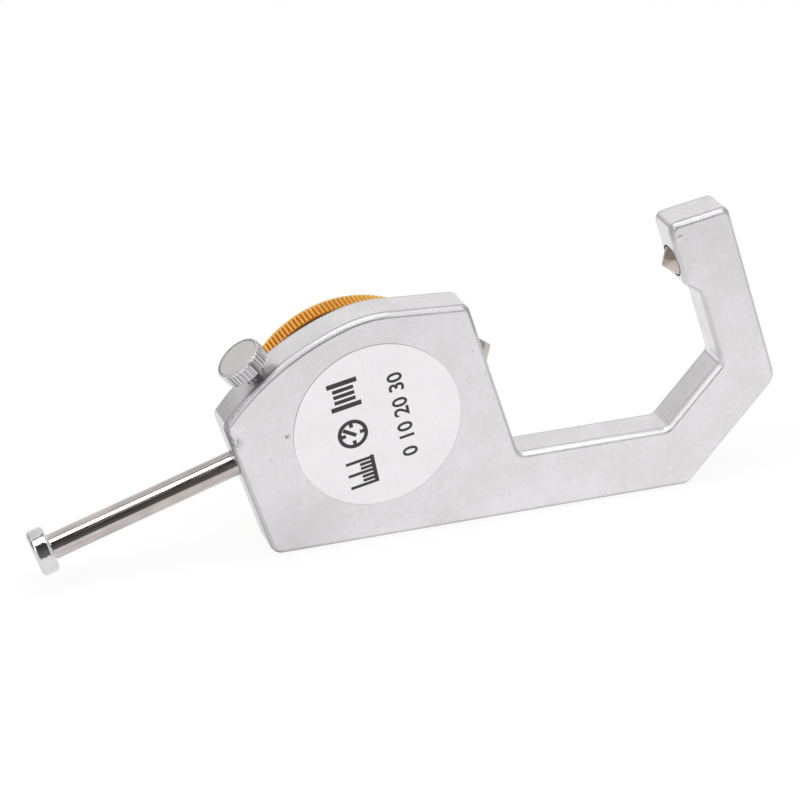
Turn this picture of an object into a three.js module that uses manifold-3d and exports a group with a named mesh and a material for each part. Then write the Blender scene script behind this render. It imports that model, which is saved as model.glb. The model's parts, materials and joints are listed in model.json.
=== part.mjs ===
// A dial thickness gauge that measures up to 30 mm, standing on the flat lower edge of its C-shaped frame.
// All lengths are millimetres. The pieces are drawn in the gauge's own frame and placed in the end by nested
// groups: x runs along the spindle rod towards the anvil, y points up across the rod, and depth runs from the
// labelled back face (0) through the frame to the dial, along -z. The dial's axis is at x = 0.

import * as THREE from 'three';
import { mergeVertices } from 'three/addons/utils/BufferGeometryUtils.js';
import Module from 'manifold-3d';

const wasm = await Module();
wasm.setup();

// Counts
const roundSteps = 48;
const smallSteps = 12;
const rodSteps = 24;
const cornerSteps = 4;
const crownSteps = 9;
const edgeSteps = 2;

// Clearances
const seatGap = 0.25;
const faceGap = 0.3;
const turnGap = 0.06;
const plateGap = 0.225;
const slideGap = 0.08;
const overrun = 1;
const mergeDistance = 1e-5;

// Measuring range and spindle
const spindleTravel = 30;
const closedGap = 0.05;
const rodDiameter = 4;
const capClearance = 0.65;
const capDiameter = 7.7;
const capThickness = 2.85;
const capEdge = 0.45;
const capStubDiameter = 2;
const capStubLength = 3;
const tipDiameter = 4.8;
const tipConeLength = 1.86;
const tipNoseRadius = 0.35;
const tipNoseHeight = 0.2;
const noseShoulderShare = 0.6;
const tipBodyLength = 1.6;
const tipProud = 1.9;
const tipStubDiameter = 2;
const tipStubLength = 3;
const tipBoreClearance = 0.4;
const anvilBodyLength = 4.2;
const keyWidth = 1;
const keyDepth = 0.5;
const keyEndRoom = 0.3;

// Rack and wheels
const rackPitch = 0.625;
const rackTeethBeyond = 2;
const rackPinionTeeth = 16;
const rackDrop = 1.2;
const rackEndRoom = 0.2;
const trainTeeth = 22;
const trainModule = 0.25;
const counterPinionTeeth = 14;
const counterRatio = 3;
const counterModule = 0.2;
const wheelThickness = 0.45;
const rackPinionLength = 2.4;
const toothRootShare = 0.28;
const toothTipShare = 0.12;
const tipHeightShare = 0.85;
const rootDepthShare = 1.2;

// Bezel and case ring, which stand round the bridge plate
const caseRoom = 2.2;
const ribCount = 160;
const ribDepth = 0.35;
const skirtWall = 1.2;
const caseWall = 1;
const caseHeight = 2.2;
const bezelStart = 0.3;
const ribLength = 3.9;
const bezelChamfer = 0.9;
const lipWidth = 1.1;
const lipThickness = 0.5;
const lipFall = 0.3;
const crystalThickness = 0.6;
const gasketWidth = 0.45;
const rehautThickness = 0.8;
const rehautWall = 0.8;
const rehautFlare = 0.25;
const dialThickness = 0.3;
const scaleRingWidth = 6.2;
const wireRadius = 0.22;
const wireSides = 4;

// Frame casting
const castingThickness = 7;
const edgeRound = 0.8;
const backWall = 1.2;
const housingMargin = 2.95;
const crownRise = 0.34;
const crownPeakShift = 2.25;
const crownLeftRadius = 39.7;
const crownRightRadius = 19.5;
const crownFallDeg = 20.99;
const standTiltDeg = 17.69;
const standClearance = 1.36;
const beamDepth = 10.75;
const bracketTiltDeg = 48.69;
const bracketDepth = 10.28;
const throatDepth = 19.11;
const armThickness = 8.12;
const padStep = 2.09;
const padStepSlant = 2.6;
const padDrop = 3.4;
const armTopHeight = 7.77;
const armTopFallDeg = 7.54;
const shoulderRound = 1.6;
const heelRound = 2;
const toeRound = 2.2;
const elbowRound = 3;
const armTopRound = 1.4;
const throatRound = 1.2;
const padRound = 1.1;
const pocketLand = 3.4;
const rodToPlate = 0.1;
const rodWallLand = 3.7;

// Bushes in the frame
const bushWall = 0.7;
const bushGap = 0.1;
const bushLength = 3.6;
const pivotBushRadius = 1.1;
const pivotBushLength = 0.55;

// Guide key screw
const keyFromFace = 2;
const keyScrewRadius = 0.85;
const keySlotWidth = 0.3;
const keySlotDepth = 0.4;
const keyHeadSink = 0.2;

// Movement plates
const mainPlateThickness = 0.7;
const bridgeThickness = 0.8;
const bridgeMargin = 2;
const bridgeFromPlate = 1.95;
const pillarRadius = 1;
const pillarBoreRadius = 0.5;
const pillarInset = 2.5;
const pillarStartDeg = 60;
const pillarCount = 3;
const screwShankRadius = 0.4;
const screwHeadRadius = 0.8;
const screwHeadHeight = 0.4;
const screwSlotWidth = 0.25;
const screwSlotDepth = 0.2;
const bridgeScrewLength = 1.5;
const caseScrewShankRadius = 0.55;
const caseScrewHeadRadius = 1;
const caseScrewLength = 3.2;
const lugRadius = 1.5;
const lugThickness = 0.6;
const lugInset = 0.2;
const dialScrewInset = 2.42;
const dialScrewLength = 0.9;
const dialScrewHead = 0.25;
const screwHeadSink = 0.05;
const caseScrewCount = 3;
const caseScrewStartDeg = 90;
const centreBushRadius = 1;
const centreArborRadius = 0.38;
const studPinRadius = 0.25;

// Arbors and hands
const arborRadius = 0.5;
const pivotRadius = 0.3;
const wheelPlaneGap = 0.25;
const hubRadius = 1.1;
const handThickness = 0.2;
const pointerOverScale = 2.78;
const pointerTail = 4;
const pointerWidth = 1.1;
const pointerTipWidth = 0.25;
const pointerHubHeight = 0.45;
const smallHandLength = 2.5;
const smallHandTail = 0.9;
const smallHandWidth = 0.6;
const handTailShare = 0.65;
const smallHubRadius = 0.75;
const handGap = 0.25;
const hairspringTurns = 3;
const hairspringPitch = 0.55;
const hairspringStrip = 0.12;
const hairspringHeight = 0.25;
const hairspringStart = 0.85;
const studRadius = 0.4;
const colletRadius = 0.7;

// Lock screw
const lockMeetsRodX = -8.5;
const lockTiltDeg = 20.6;
const lockShankRadius = 1.5;
const lockBoreGap = 0.12;
const lockKnobRadius = 3.85;
const lockKnobThickness = 3;
const lockKnobStandoff = 1.417;
const lockKnobEdge = 0.35;
const lockKnurls = 30;
const lockKnurlDepth = 0.22;
const lockPadLength = 1.5;
const lockPadRadius = 1.35;
const lockPadPlay = 0.06;
const lockNeckRadius = 0.8;
const lockNeckLength = 0.8;

// Friction spring
const springPostInset = 4.5;
const springPostRise = 4;
const springPostRadius = 1.6;
const springPostHeight = 1.3;
const springEyeRadius = 1.25;
const springScrewRadius = 0.6;
const springStrip = 0.25;
const springHeight = 2;
const springReach = 6;
const springCurl = 0.9;
const springRodGap = 0.08;

// Label on the back
const labelRadius = 13.56;
const labelThickness = 0.12;
const labelShift = 1.33;
const labelRise = 0.24;
const labelSink = 0.05;

// Sizes that follow
const rad = Math.PI / 180;
const rodRadius = rodDiameter / 2;
const rodDepth = castingThickness / 2;
const plateSeatDepth = rodDepth + rodRadius + rodToPlate;
const rackPinionRadius = rackPinionTeeth * rackPitch / (2 * Math.PI);
const rackAddendum = rackPitch / Math.PI;
const dialDrop = rackDrop + rackPinionRadius;
const trainRadius = trainTeeth * trainModule / 2;
const labelY = labelRise - dialDrop;
const idlerX = 2 * trainRadius;
const rackArborX = 4 * trainRadius;
const springPostX = rackArborX - springPostInset;
const springPostY = rodRadius + springPostRise;
const counterPinionRadius = counterPinionTeeth * counterModule / 2;
const counterWheelRadius = counterPinionRadius * counterRatio;
const counterRise = counterPinionRadius + counterWheelRadius;
const hairspringEnd = hairspringStart + hairspringPitch * hairspringTurns + hairspringStrip;

const bridgeRadius = rackArborX + bridgeMargin;
const pillarRing = bridgeRadius - pillarInset;
const caseInner = bridgeRadius + caseRoom;
const caseOuter = caseInner + caseWall;
const skirtInner = caseOuter + 2 * turnGap + slideGap;
const bezelRadius = skirtInner + skirtWall + ribDepth;
const caseScrewRing = caseInner - caseScrewHeadRadius - lugInset;
const seatRadius = skirtInner;
const pocketRadius = seatRadius - pocketLand;
const bezelBore = caseOuter - 2 * turnGap;
const lipInner = bezelBore - lipWidth;
const scaleInner = bezelBore - turnGap - scaleRingWidth;
const dialScrewRing = scaleInner - dialScrewInset;
const pointerLength = scaleInner + pointerOverScale;
const wireCircle = (skirtInner + caseOuter) / 2;
const crystalRadius = bezelBore - turnGap - gasketWidth - turnGap;

const housingLeft = -(bezelRadius + housingMargin);
const housingRight = bezelRadius + housingMargin;
const spindleApex = housingRight + tipProud;
const anvilApex = spindleApex + spindleTravel + closedGap;
const padFace = anvilApex + tipConeLength;
const armInner = padFace + padStep;
const armOuter = armInner + armThickness;
const crownTop = bezelRadius + crownRise - dialDrop;
const standDrop = dialDrop * Math.cos(standTiltDeg * rad) + bezelRadius + standClearance;

const mainPlateBack = plateSeatDepth + plateGap;
const mainPlateFront = mainPlateBack + mainPlateThickness;
const bridgeBack = mainPlateFront + bridgeFromPlate;
const bridgeFront = bridgeBack + bridgeThickness;
const trainPlane = mainPlateFront + wheelPlaneGap;
const counterPlane = trainPlane + wheelThickness + wheelPlaneGap;
const hairspringPlane = counterPlane + wheelThickness + wheelPlaneGap / 2;
const dialBack = bridgeFront + faceGap;
const dialFront = dialBack + dialThickness;
const smallHandBack = dialFront + handGap;
const pointerBack = smallHandBack + handThickness + handGap;
const caseBack = mainPlateFront + plateGap;
const caseFront = caseBack + caseHeight;
const bezelBack = castingThickness + bezelStart;
const wireDepth = (bezelBack + caseFront) / 2;
const ribEnd = bezelBack + ribLength;
const rehautBack = dialFront + seatGap;
const rehautFront = rehautBack + rehautThickness;
const crystalBack = rehautFront + seatGap;
const crystalFront = crystalBack + crystalThickness;
const bezelFront = crystalFront + seatGap + lipThickness;

const rodLeft = housingLeft - spindleTravel - capClearance;
const rodRight = spindleApex - tipConeLength - tipBodyLength - slideGap;
const rodBore = rodRadius + slideGap;
const bushOuter = rodBore + bushWall;
const pocketEdge = Math.sqrt(pocketRadius ** 2 - dialDrop ** 2);
const bushSeatEnd = pocketEdge + rodWallLand;
const keyX = housingLeft + keyFromFace;

// Colours of the finished surfaces
function finish(color, roughness, metalness) {
  return new THREE.MeshStandardMaterial({ color, roughness, metalness });
}
const castMetal = finish(0xc9cbd0, 0.38, 0.8);
const labelPaper = finish(0xebe8ea, 0.55, 0);
const chrome = finish(0xd8d8dc, 0.08, 1);
const steel = finish(0xa8a39a, 0.28, 1);
const brass = finish(0xc9a24e, 0.3, 1);
const gold = finish(0xe8942e, 0.32, 0.7);
const dialWhite = finish(0xf4f4f0, 0.5, 0);
const handBlack = finish(0x18181a, 0.4, 0.2);
const handRed = finish(0xb02020, 0.4, 0.1);
const clear = finish(0xe8f0f4, 0.05, 0);
clear.transparent = true;
clear.opacity = 0.3;
const blackRubber = finish(0x1c1c1c, 0.7, 0);

// Closed bodies, joined and cut
function closed(geometry) {
  const bare = geometry.clone();
  bare.deleteAttribute('normal');
  bare.deleteAttribute('uv');
  const merged = mergeVertices(bare, mergeDistance);
  const place = merged.getAttribute('position');
  const index = merged.getIndex().array;
  const kept = [];
  let volume = 0;
  const a = new THREE.Vector3();
  const b = new THREE.Vector3();
  const c = new THREE.Vector3();
  for (let i = 0; i < index.length; i += 3) {
    const [i0, i1, i2] = [index[i], index[i + 1], index[i + 2]];
    if (i0 === i1 || i1 === i2 || i2 === i0) continue;
    kept.push(i0, i1, i2);
    b.fromBufferAttribute(place, i1).cross(c.fromBufferAttribute(place, i2));
    volume += a.fromBufferAttribute(place, i0).dot(b);
  }
  if (volume < 0) kept.reverse();
  const vertProperties = new Float32Array(place.array);
  const triVerts = new Uint32Array(kept);
  return new wasm.Manifold(new wasm.Mesh({ numProp: 3, vertProperties, triVerts }));
}

function geometryOf(solid) {
  const { vertProperties, triVerts, numProp } = solid.getMesh();
  const points = [];
  for (let i = 0; i < vertProperties.length; i += numProp) {
    points.push(vertProperties[i], vertProperties[i + 1], vertProperties[i + 2]);
  }
  const geometry = new THREE.BufferGeometry();
  geometry.setAttribute('position', new THREE.Float32BufferAttribute(points, 3));
  geometry.setIndex(Array.from(triVerts));
  geometry.computeVertexNormals();
  return geometry;
}

function join(...shapes) {
  return geometryOf(shapes.map(closed).reduce((whole, shape) => whole.add(shape)));
}

function common(first, second) {
  return geometryOf(closed(first).intersect(closed(second)));
}

function cut(body, ...tools) {
  return geometryOf(tools.map(closed).reduce((whole, tool) => whole.subtract(tool), closed(body)));
}

// Basic forms. Profiles are lists of [radius, place along the axis].
function turned(profile, steps = roundSteps) {
  const points = profile.map(([radius, depth]) => new THREE.Vector2(radius, -depth));
  return new THREE.LatheGeometry(points, steps).rotateX(Math.PI / 2);
}

function turnedAlongRod(profile, steps = rodSteps) {
  const points = profile.map(([radius, x]) => new THREE.Vector2(radius, x));
  return new THREE.LatheGeometry(points, steps).rotateZ(-Math.PI / 2).translate(0, 0, -rodDepth);
}

function disc(radius, back, front, steps = roundSteps) {
  return turned([[0, back], [radius, back], [radius, front], [0, front]], steps);
}

function hole(radius, back, front, x, y) {
  return disc(radius, back, front, smallSteps).translate(x, y, 0);
}

function ring(inner, outer, back, front, steps = roundSteps) {
  return turned([[inner, back], [outer, back], [outer, front], [inner, front], [inner, back]], steps);
}

function rodPiece(radius, from, to, steps) {
  return turnedAlongRod([[0, from], [radius, from], [radius, to], [0, to]], steps);
}

function sheet(points, back, front, holes = []) {
  const shape = new THREE.Shape(points.map(([x, y]) => new THREE.Vector2(x, y)));
  shape.holes = holes.map((hole) => new THREE.Path(hole.map(([x, y]) => new THREE.Vector2(x, y))));
  const geometry = new THREE.ExtrudeGeometry(shape, { depth: front - back, bevelEnabled: false });
  return geometry.translate(0, 0, -front);
}

function circlePoints(radius, steps, x = 0, y = 0) {
  return Array.from({ length: steps }, (_, i) => {
    const turn = 2 * Math.PI * i / steps;
    return [x + radius * Math.cos(turn), y + radius * Math.sin(turn)];
  });
}

function block(x0, x1, y0, y1, back, front) {
  return new THREE.BoxGeometry(Math.abs(x1 - x0), Math.abs(y1 - y0), front - back)
    .translate((x0 + x1) / 2, (y0 + y1) / 2, -(back + front) / 2);
}

// A toothed outline: each tooth is a trapezium between the root and the tip circle.
function toothedOutline(teeth, root, tip, phase = 0) {
  const pitch = 2 * Math.PI / teeth;
  const rising = [[root, -toothRootShare], [tip, -toothTipShare]];
  const falling = [[tip, toothTipShare], [root, toothRootShare]];
  const corners = [...rising, ...falling];
  const points = [];
  for (let i = 0; i < teeth; i++) {
    for (const [radius, share] of corners) {
      const turn = phase + (i + share) * pitch;
      points.push([radius * Math.cos(turn), radius * Math.sin(turn)]);
    }
  }
  return points;
}

function wheel(teeth, module, bore, back, front, phase = 0) {
  const pitchRadius = teeth * module / 2;
  const root = pitchRadius - rootDepthShare * module;
  const tip = pitchRadius + tipHeightShare * module;
  return sheet(toothedOutline(teeth, root, tip, phase), back, front, [circlePoints(bore, smallSteps)]);
}

// The cut for a screwdriver across a head of this radius
function slot(radius, width, bottom, top) {
  return block(-radius - overrun, radius + overrun, -width / 2, width / 2, bottom, top + overrun);
}

// Screws stand on the depth axis: the head's underside is at depth 0 and the shank runs towards the back.
function screw(shankRadius, headRadius, headHeight, length, slotWidth, slotDepth) {
  const body = turned([[0, -length], [shankRadius, -length], [shankRadius, 0], [headRadius, 0],
    [headRadius, headHeight], [0, headHeight]], smallSteps);
  return cut(body, slot(headRadius, slotWidth, headHeight - slotDepth, headHeight));
}

function around(count, radius, startDeg, place) {
  return Array.from({ length: count }, (_, i) => {
    const turn = startDeg * rad + 2 * Math.PI * i / count;
    return place(radius * Math.cos(turn), radius * Math.sin(turn) - dialDrop);
  });
}

// Scene groups: the gauge's frame is tilted about the rod so that the lower edge lies level.
const gauge = new THREE.Group();

function piece(name, geometry, material, x = 0, y = 0, depth = 0) {
  const mesh = new THREE.Mesh(geometryOf(closed(geometry)), material);
  mesh.name = name;
  mesh.position.set(x, y, -depth);
  gauge.add(mesh);
  return mesh;
}

// Lines of the frame's outline: a direction from the rod and a distance above the origin, square to it
function line(angleDeg, offset) {
  return { nx: -Math.sin(angleDeg * rad), ny: Math.cos(angleDeg * rad), offset };
}
function lineThrough(angleDeg, x, y) {
  const through = line(angleDeg, 0);
  return { ...through, offset: through.nx * x + through.ny * y };
}
function yOn(edge, x) {
  return (edge.offset - edge.nx * x) / edge.ny;
}
function meet(a, b) {
  const det = a.nx * b.ny - b.nx * a.ny;
  return [(a.offset * b.ny - b.offset * a.ny) / det, (a.nx * b.offset - b.nx * a.offset) / det];
}

const standEdge = line(-standTiltDeg, -standDrop);
const beamTop = line(-standTiltDeg, beamDepth - standDrop);
const bracketAngle = bracketTiltDeg - standTiltDeg;
const bracketInner = lineThrough(bracketAngle, armInner, -throatDepth);
const bracketOuter = { ...bracketInner, offset: bracketInner.offset - bracketDepth };
const armTop = lineThrough(-armTopFallDeg, padFace, armTopHeight);

// A corner rounded by an arc that touches both of its edges
function rounded(before, corner, after, radius) {
  const p = new THREE.Vector2(...corner);
  const u = new THREE.Vector2(...before).sub(p).normalize();
  const v = new THREE.Vector2(...after).sub(p).normalize();
  const half = Math.acos(u.dot(v)) / 2;
  const away = radius / Math.tan(half);
  const centre = u.clone().add(v).normalize().multiplyScalar(radius / Math.sin(half)).add(p);
  const from = u.clone().multiplyScalar(away).add(p).sub(centre);
  const to = v.clone().multiplyScalar(away).add(p).sub(centre);
  const turn = Math.atan2(from.x * to.y - from.y * to.x, from.dot(to));
  return Array.from({ length: cornerSteps + 1 }, (_, i) => {
    const point = from.clone().rotateAround(new THREE.Vector2(), turn * i / cornerSteps).add(centre);
    return [point.x, point.y];
  });
}

function crownPoint(radius, turn) {
  return [crownPeakShift + radius * Math.sin(turn), crownTop - radius + radius * Math.cos(turn)];
}

function frameOutline() {
  const heel = [housingLeft, yOn(standEdge, housingLeft)];
  const toe = meet(standEdge, bracketOuter);
  const elbow = [armOuter, yOn(bracketOuter, armOuter)];
  const armTopRight = [armOuter, yOn(armTop, armOuter)];
  const armTopLeft = [padFace, armTopHeight];
  const padLow = [padFace, -padDrop];
  const padEnd = [armInner, -padDrop - padStepSlant];
  const armFoot = [armInner, -throatDepth];
  const beamEnd = meet(beamTop, bracketInner);
  const throat = [housingRight, yOn(beamTop, housingRight)];
  const fall = crownFallDeg * rad;
  const fallStart = crownPoint(crownRightRadius, fall);
  const shoulderRight = [housingRight, fallStart[1] - (housingRight - fallStart[0]) * Math.tan(fall)];
  const leftTurn = -Math.asin((crownPeakShift - housingLeft) / crownLeftRadius);
  const shoulderLeft = crownPoint(crownLeftRadius, leftTurn);
  const crown = [];
  for (let i = 0; i <= crownSteps; i++) crown.push(crownPoint(crownRightRadius, fall * (1 - i / crownSteps)));
  for (let i = 1; i < crownSteps; i++) crown.push(crownPoint(crownLeftRadius, leftTurn * i / crownSteps));
  const beforeLeft = crown[crown.length - 1];
  return [
    ...rounded(shoulderLeft, heel, toe, heelRound),
    ...rounded(heel, toe, elbow, toeRound),
    ...rounded(toe, elbow, armTopRight, elbowRound),
    ...rounded(elbow, armTopRight, armTopLeft, armTopRound),
    ...rounded(armTopRight, armTopLeft, padLow, armTopRound),
    ...rounded(armTopLeft, padLow, padEnd, padRound),
    ...rounded(padLow, padEnd, armFoot, padRound),
    ...rounded(padEnd, armFoot, beamEnd, throatRound),
    ...rounded(armFoot, beamEnd, throat, throatRound),
    ...rounded(beamEnd, throat, shoulderRight, throatRound),
    ...rounded(throat, shoulderRight, fallStart, shoulderRound),
    ...crown,
    ...rounded(beforeLeft, shoulderLeft, heel, shoulderRound),
  ];
}

// A solid of the outline with its edges rounded all round
function roundedPlate(points, thickness, round) {
  const shape = new THREE.Shape(points.map(([x, y]) => new THREE.Vector2(x, y)));
  return new THREE.ExtrudeGeometry(shape, {
    depth: thickness - 2 * round,
    bevelEnabled: true,
    bevelThickness: round,
    bevelSize: round,
    bevelOffset: -round,
    bevelSegments: edgeSteps,
  }).translate(0, 0, round - thickness);
}

// The lock screw's axis, from the rod's axis up and out through the sloped shoulder
const lockTilt = lockTiltDeg * rad;
const lockPadTop = (rodRadius + lockPadPlay) / Math.cos(lockTilt) + lockPadLength;
const lockToCrown = new THREE.Vector2(lockMeetsRodX - crownPeakShift, crownLeftRadius - crownTop);
const lockAlong = lockToCrown.y * Math.cos(lockTilt) - lockToCrown.x * Math.sin(lockTilt);
const lockExit = Math.sqrt(lockAlong ** 2 + crownLeftRadius ** 2 - lockToCrown.lengthSq()) - lockAlong;
const lockKnobFace = lockExit + lockKnobStandoff + lockKnobThickness;
function alongLock(profile, steps) {
  const points = profile.map(([radius, reach]) => new THREE.Vector2(radius, reach));
  return new THREE.LatheGeometry(points, steps);
}
function placeOnLock(geometry) {
  return geometry.rotateZ(lockTilt).translate(lockMeetsRodX, 0, -rodDepth);
}

function frameCasting() {
  const body = join(
    cut(
      roundedPlate(frameOutline(), castingThickness, edgeRound),
      disc(pocketRadius, backWall, plateSeatDepth + overrun).translate(0, -dialDrop, 0),
      disc(seatRadius, plateSeatDepth, castingThickness + overrun).translate(0, -dialDrop, 0),
    ),
    disc(springPostRadius, backWall / 2, backWall + springPostHeight, smallSteps)
      .translate(springPostX, springPostY, 0),
  );
  const rodHole = rodPiece(rodBore, housingLeft - overrun, housingRight + overrun);
  const bushHole = rodPiece(bushOuter + bushGap, -bushSeatEnd, bushSeatEnd);
  const tipSeatEnd = spindleApex - tipConeLength - tipBodyLength - faceGap;
  const tipSeat = rodPiece(tipDiameter / 2 + tipBoreClearance, tipSeatEnd, housingRight + overrun);
  const anvilSeatEnd = padFace + anvilBodyLength + faceGap;
  const anvilHole = rodPiece(tipDiameter / 2 + bushGap, padFace - overrun, anvilSeatEnd);
  const lockBore = lockShankRadius + lockBoreGap;
  const lockHole = placeOnLock(alongLock([[0, rodDiameter], [lockBore, rodDiameter], [lockBore, lockKnobFace],
    [0, lockKnobFace]], smallSteps));
  const keyHole = hole(keyScrewRadius + bushGap, rodDepth, castingThickness + overrun, keyX, 0);
  const caseHoleRadius = caseScrewShankRadius + bushGap;
  const caseHoles = around(caseScrewCount, caseScrewRing, caseScrewStartDeg, (x, y) =>
    hole(caseHoleRadius, mainPlateFront - caseScrewLength, castingThickness, x, y));
  const springHole = hole(springScrewRadius + bushGap, backWall, castingThickness, springPostX, springPostY);
  const pinionRoomRadius = rackPinionRadius + rackAddendum + seatGap;
  const pinionRoom = hole(pinionRoomRadius, backWall, plateSeatDepth + overrun, rackArborX, -dialDrop);
  const rackPivotHole = hole(pivotBushRadius + bushGap, backWall - pivotBushLength, backWall + overrun,
    rackArborX, -dialDrop);
  const labelSeat = disc(labelRadius + bushGap, -overrun, labelSink).translate(labelShift, labelY, 0);
  return cut(body, rodHole, bushHole, tipSeat, anvilHole, lockHole, keyHole, ...caseHoles,
    springHole, pinionRoom, rackPivotHole, labelSeat);
}

function bush(from, to) {
  const start = [rodBore, from];
  return turnedAlongRod([start, [bushOuter, from], [bushOuter, to], [rodBore, to], start]);
}

// The guide key: a headless screw whose dog end runs in the rod's keyway and stops the rod from turning
function guideKey() {
  const tip = rodDepth + rodRadius - keyDepth + slideGap;
  const shoulder = rodDepth + rodRadius + slideGap;
  const head = castingThickness - keyHeadSink;
  const body = turned([[0, tip], [keyWidth / 2, tip], [keyWidth / 2, shoulder], [keyScrewRadius, shoulder],
    [keyScrewRadius, head], [0, head]], smallSteps);
  return cut(body, slot(keyScrewRadius, keySlotWidth, head - keySlotDepth, head));
}

// A conical measuring tip with a rounded nose; the cone starts at place 0
function tipCone() {
  const noseStart = tipConeLength - tipNoseHeight;
  return [[tipDiameter / 2, 0], [tipNoseRadius, noseStart], [tipNoseRadius * noseShoulderShare,
    noseStart + tipNoseHeight * noseShoulderShare], [0, tipConeLength]];
}

function contactTip() {
  const stub = tipStubDiameter / 2;
  return turnedAlongRod([[0, -tipBodyLength - tipStubLength], [stub, -tipBodyLength - tipStubLength],
    [stub, -tipBodyLength], [tipDiameter / 2, -tipBodyLength], ...tipCone()]);
}

function anvilTip() {
  return turnedAlongRod([[0, -anvilBodyLength], [tipDiameter / 2, -anvilBodyLength], ...tipCone()])
    .rotateZ(Math.PI);
}

function spindleRod() {
  const blank = rodPiece(rodRadius, rodLeft, rodRight);
  const tipBoreEnd = rodRight - tipStubLength - seatGap;
  const capBoreEnd = rodLeft + capStubLength + seatGap;
  const tipBore = rodPiece(tipStubDiameter / 2 + slideGap, tipBoreEnd, rodRight + overrun, smallSteps);
  const capBore = rodPiece(capStubDiameter / 2 + slideGap, rodLeft - overrun, capBoreEnd, smallSteps);
  const keyHalf = keyWidth / 2 + slideGap;
  const keyEnd = keyHalf + keyEndRoom;
  const keyFloor = rodDepth + rodRadius - keyDepth;
  const keyway = block(keyX - spindleTravel - keyEnd, keyX + keyEnd, -keyHalf, keyHalf, keyFloor,
    keyFloor + keyDepth + overrun);
  return cut(blank, tipBore, capBore, keyway, rackCutter());
}

// Everything below the rack's toothed line is cut from the rod's underside.
function rackCutter() {
  const teethToRear = Math.ceil(spindleTravel / rackPitch) + rackTeethBeyond;
  const crest = -rackDrop - tipHeightShare * rackAddendum;
  const root = -rackDrop + rootDepthShare * rackAddendum;
  const low = -rodRadius - overrun;
  const points = [];
  for (let i = -teethToRear; i <= rackTeethBeyond; i++) {
    const middle = rackArborX + i * rackPitch;
    points.push([middle - toothRootShare * rackPitch, root], [middle - toothTipShare * rackPitch, crest]);
    points.push([middle + toothTipShare * rackPitch, crest], [middle + toothRootShare * rackPitch, root]);
  }
  const first = points[0][0] - rackEndRoom;
  const last = points[points.length - 1][0] + rackEndRoom;
  const half = rodRadius + overrun;
  const outline = [[first, low], [first, root], ...points, [last, root], [last, low]];
  return sheet(outline, rodDepth - half, rodDepth + half);
}

function endCap() {
  const r = capDiameter / 2;
  const back = rodLeft - slideGap;
  const face = back - capThickness;
  const stub = capStubDiameter / 2;
  const stubEnd = back + capStubLength;
  return turnedAlongRod([[0, face], [r - capEdge, face], [r, face + capEdge], [r, back - capEdge],
    [r - capEdge, back], [stub, back], [stub, stubEnd], [0, stubEnd]]);
}

// Friction spring: an eye round its screw and a blade that bears on the top of the rod
function frictionSpring(back) {
  const front = back + springHeight;
  const touch = [springPostX - springReach, rodRadius + springRodGap];
  const start = [springPostX, springPostY - springEyeRadius];
  const curl = [touch[0] - springCurl, touch[1] + springCurl / 2];
  const blade = sheet([start, [start[0], start[1] + springStrip], [touch[0], touch[1] + springStrip],
    [curl[0], curl[1] + springStrip], curl, touch], back, front);
  const eye = ring(springScrewRadius + turnGap, springEyeRadius, back, front, smallSteps)
    .translate(springPostX, springPostY, 0);
  return join(eye, blade);
}

// A flat movement plate with round holes, each given as [x, y, radius]
function plateWithHoles(radius, back, front, holes) {
  const bores = holes.map(([x, y, bore]) => hole(bore, back - overrun, front + overrun, x, y));
  return cut(disc(radius, back, front).translate(0, -dialDrop, 0), ...bores);
}

function caseRing() {
  const wireHalf = wireRadius + turnGap;
  const wire = ring(wireCircle - wireHalf, caseOuter + overrun, wireDepth - wireHalf, wireDepth + wireHalf)
    .translate(0, -dialDrop, 0);
  const lugs = around(caseScrewCount, caseScrewRing, caseScrewStartDeg, (x, y) =>
    hole(lugRadius, caseBack, caseBack + lugThickness, x, y));
  const bores = around(caseScrewCount, caseScrewRing, caseScrewStartDeg, (x, y) =>
    hole(caseScrewShankRadius + turnGap, caseBack - overrun, caseFront, x, y));
  const wall = ring(caseInner, caseOuter, caseBack, caseFront).translate(0, -dialDrop, 0);
  return cut(join(wall, ...lugs), wire, ...bores);
}

// The bezel: a ribbed skirt, a sloped front and a lip that holds the crystal
function bezel() {
  const root = bezelRadius - ribDepth;
  const ribs = [];
  for (let i = 0; i < ribCount; i++) {
    for (const [radius, share] of [[bezelRadius, 0], [root, 1 / 2]]) {
      const turn = 2 * Math.PI * (i + share) / ribCount;
      ribs.push([radius * Math.cos(turn), radius * Math.sin(turn)]);
    }
  }
  const front = turned([[0, ribEnd - overrun], [root, ribEnd - overrun], [root, bezelFront - bezelChamfer],
    [root - bezelChamfer, bezelFront], [0, bezelFront]]);
  const start = bezelBack - overrun;
  const step = caseFront + faceGap;
  const lip = crystalFront + seatGap;
  const end = bezelFront + overrun;
  const bore = turned([[0, start], [skirtInner, start], [skirtInner, step], [bezelBore, step], [bezelBore, lip],
    [lipInner, lip], [lipInner + lipFall, end], [0, end]]);
  const wireHalf = wireRadius + turnGap;
  const wire = ring(0, wireCircle + wireHalf, wireDepth - wireHalf, wireDepth + wireHalf);
  return cut(join(sheet(ribs, bezelBack, ribEnd), front), bore, wire);
}

function bezelWire() {
  const section = circlePoints(wireRadius, wireSides, wireCircle, wireDepth);
  return turned([...section, section[0]]);
}

// A flat hand that points along +x, with a round eye on its arbor
function hand(length, tail, width, tipWidth, eye, bore) {
  const tailHalf = width * handTailShare;
  const outline = [[length, -tipWidth / 2], [length, tipWidth / 2], [0, width / 2], [-tail, tailHalf],
    [-tail, -tailHalf], [0, -width / 2]];
  return cut(join(sheet(outline, 0, handThickness), disc(eye, 0, handThickness, smallSteps)),
    disc(bore, -overrun, handThickness + overrun, smallSteps));
}

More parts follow.
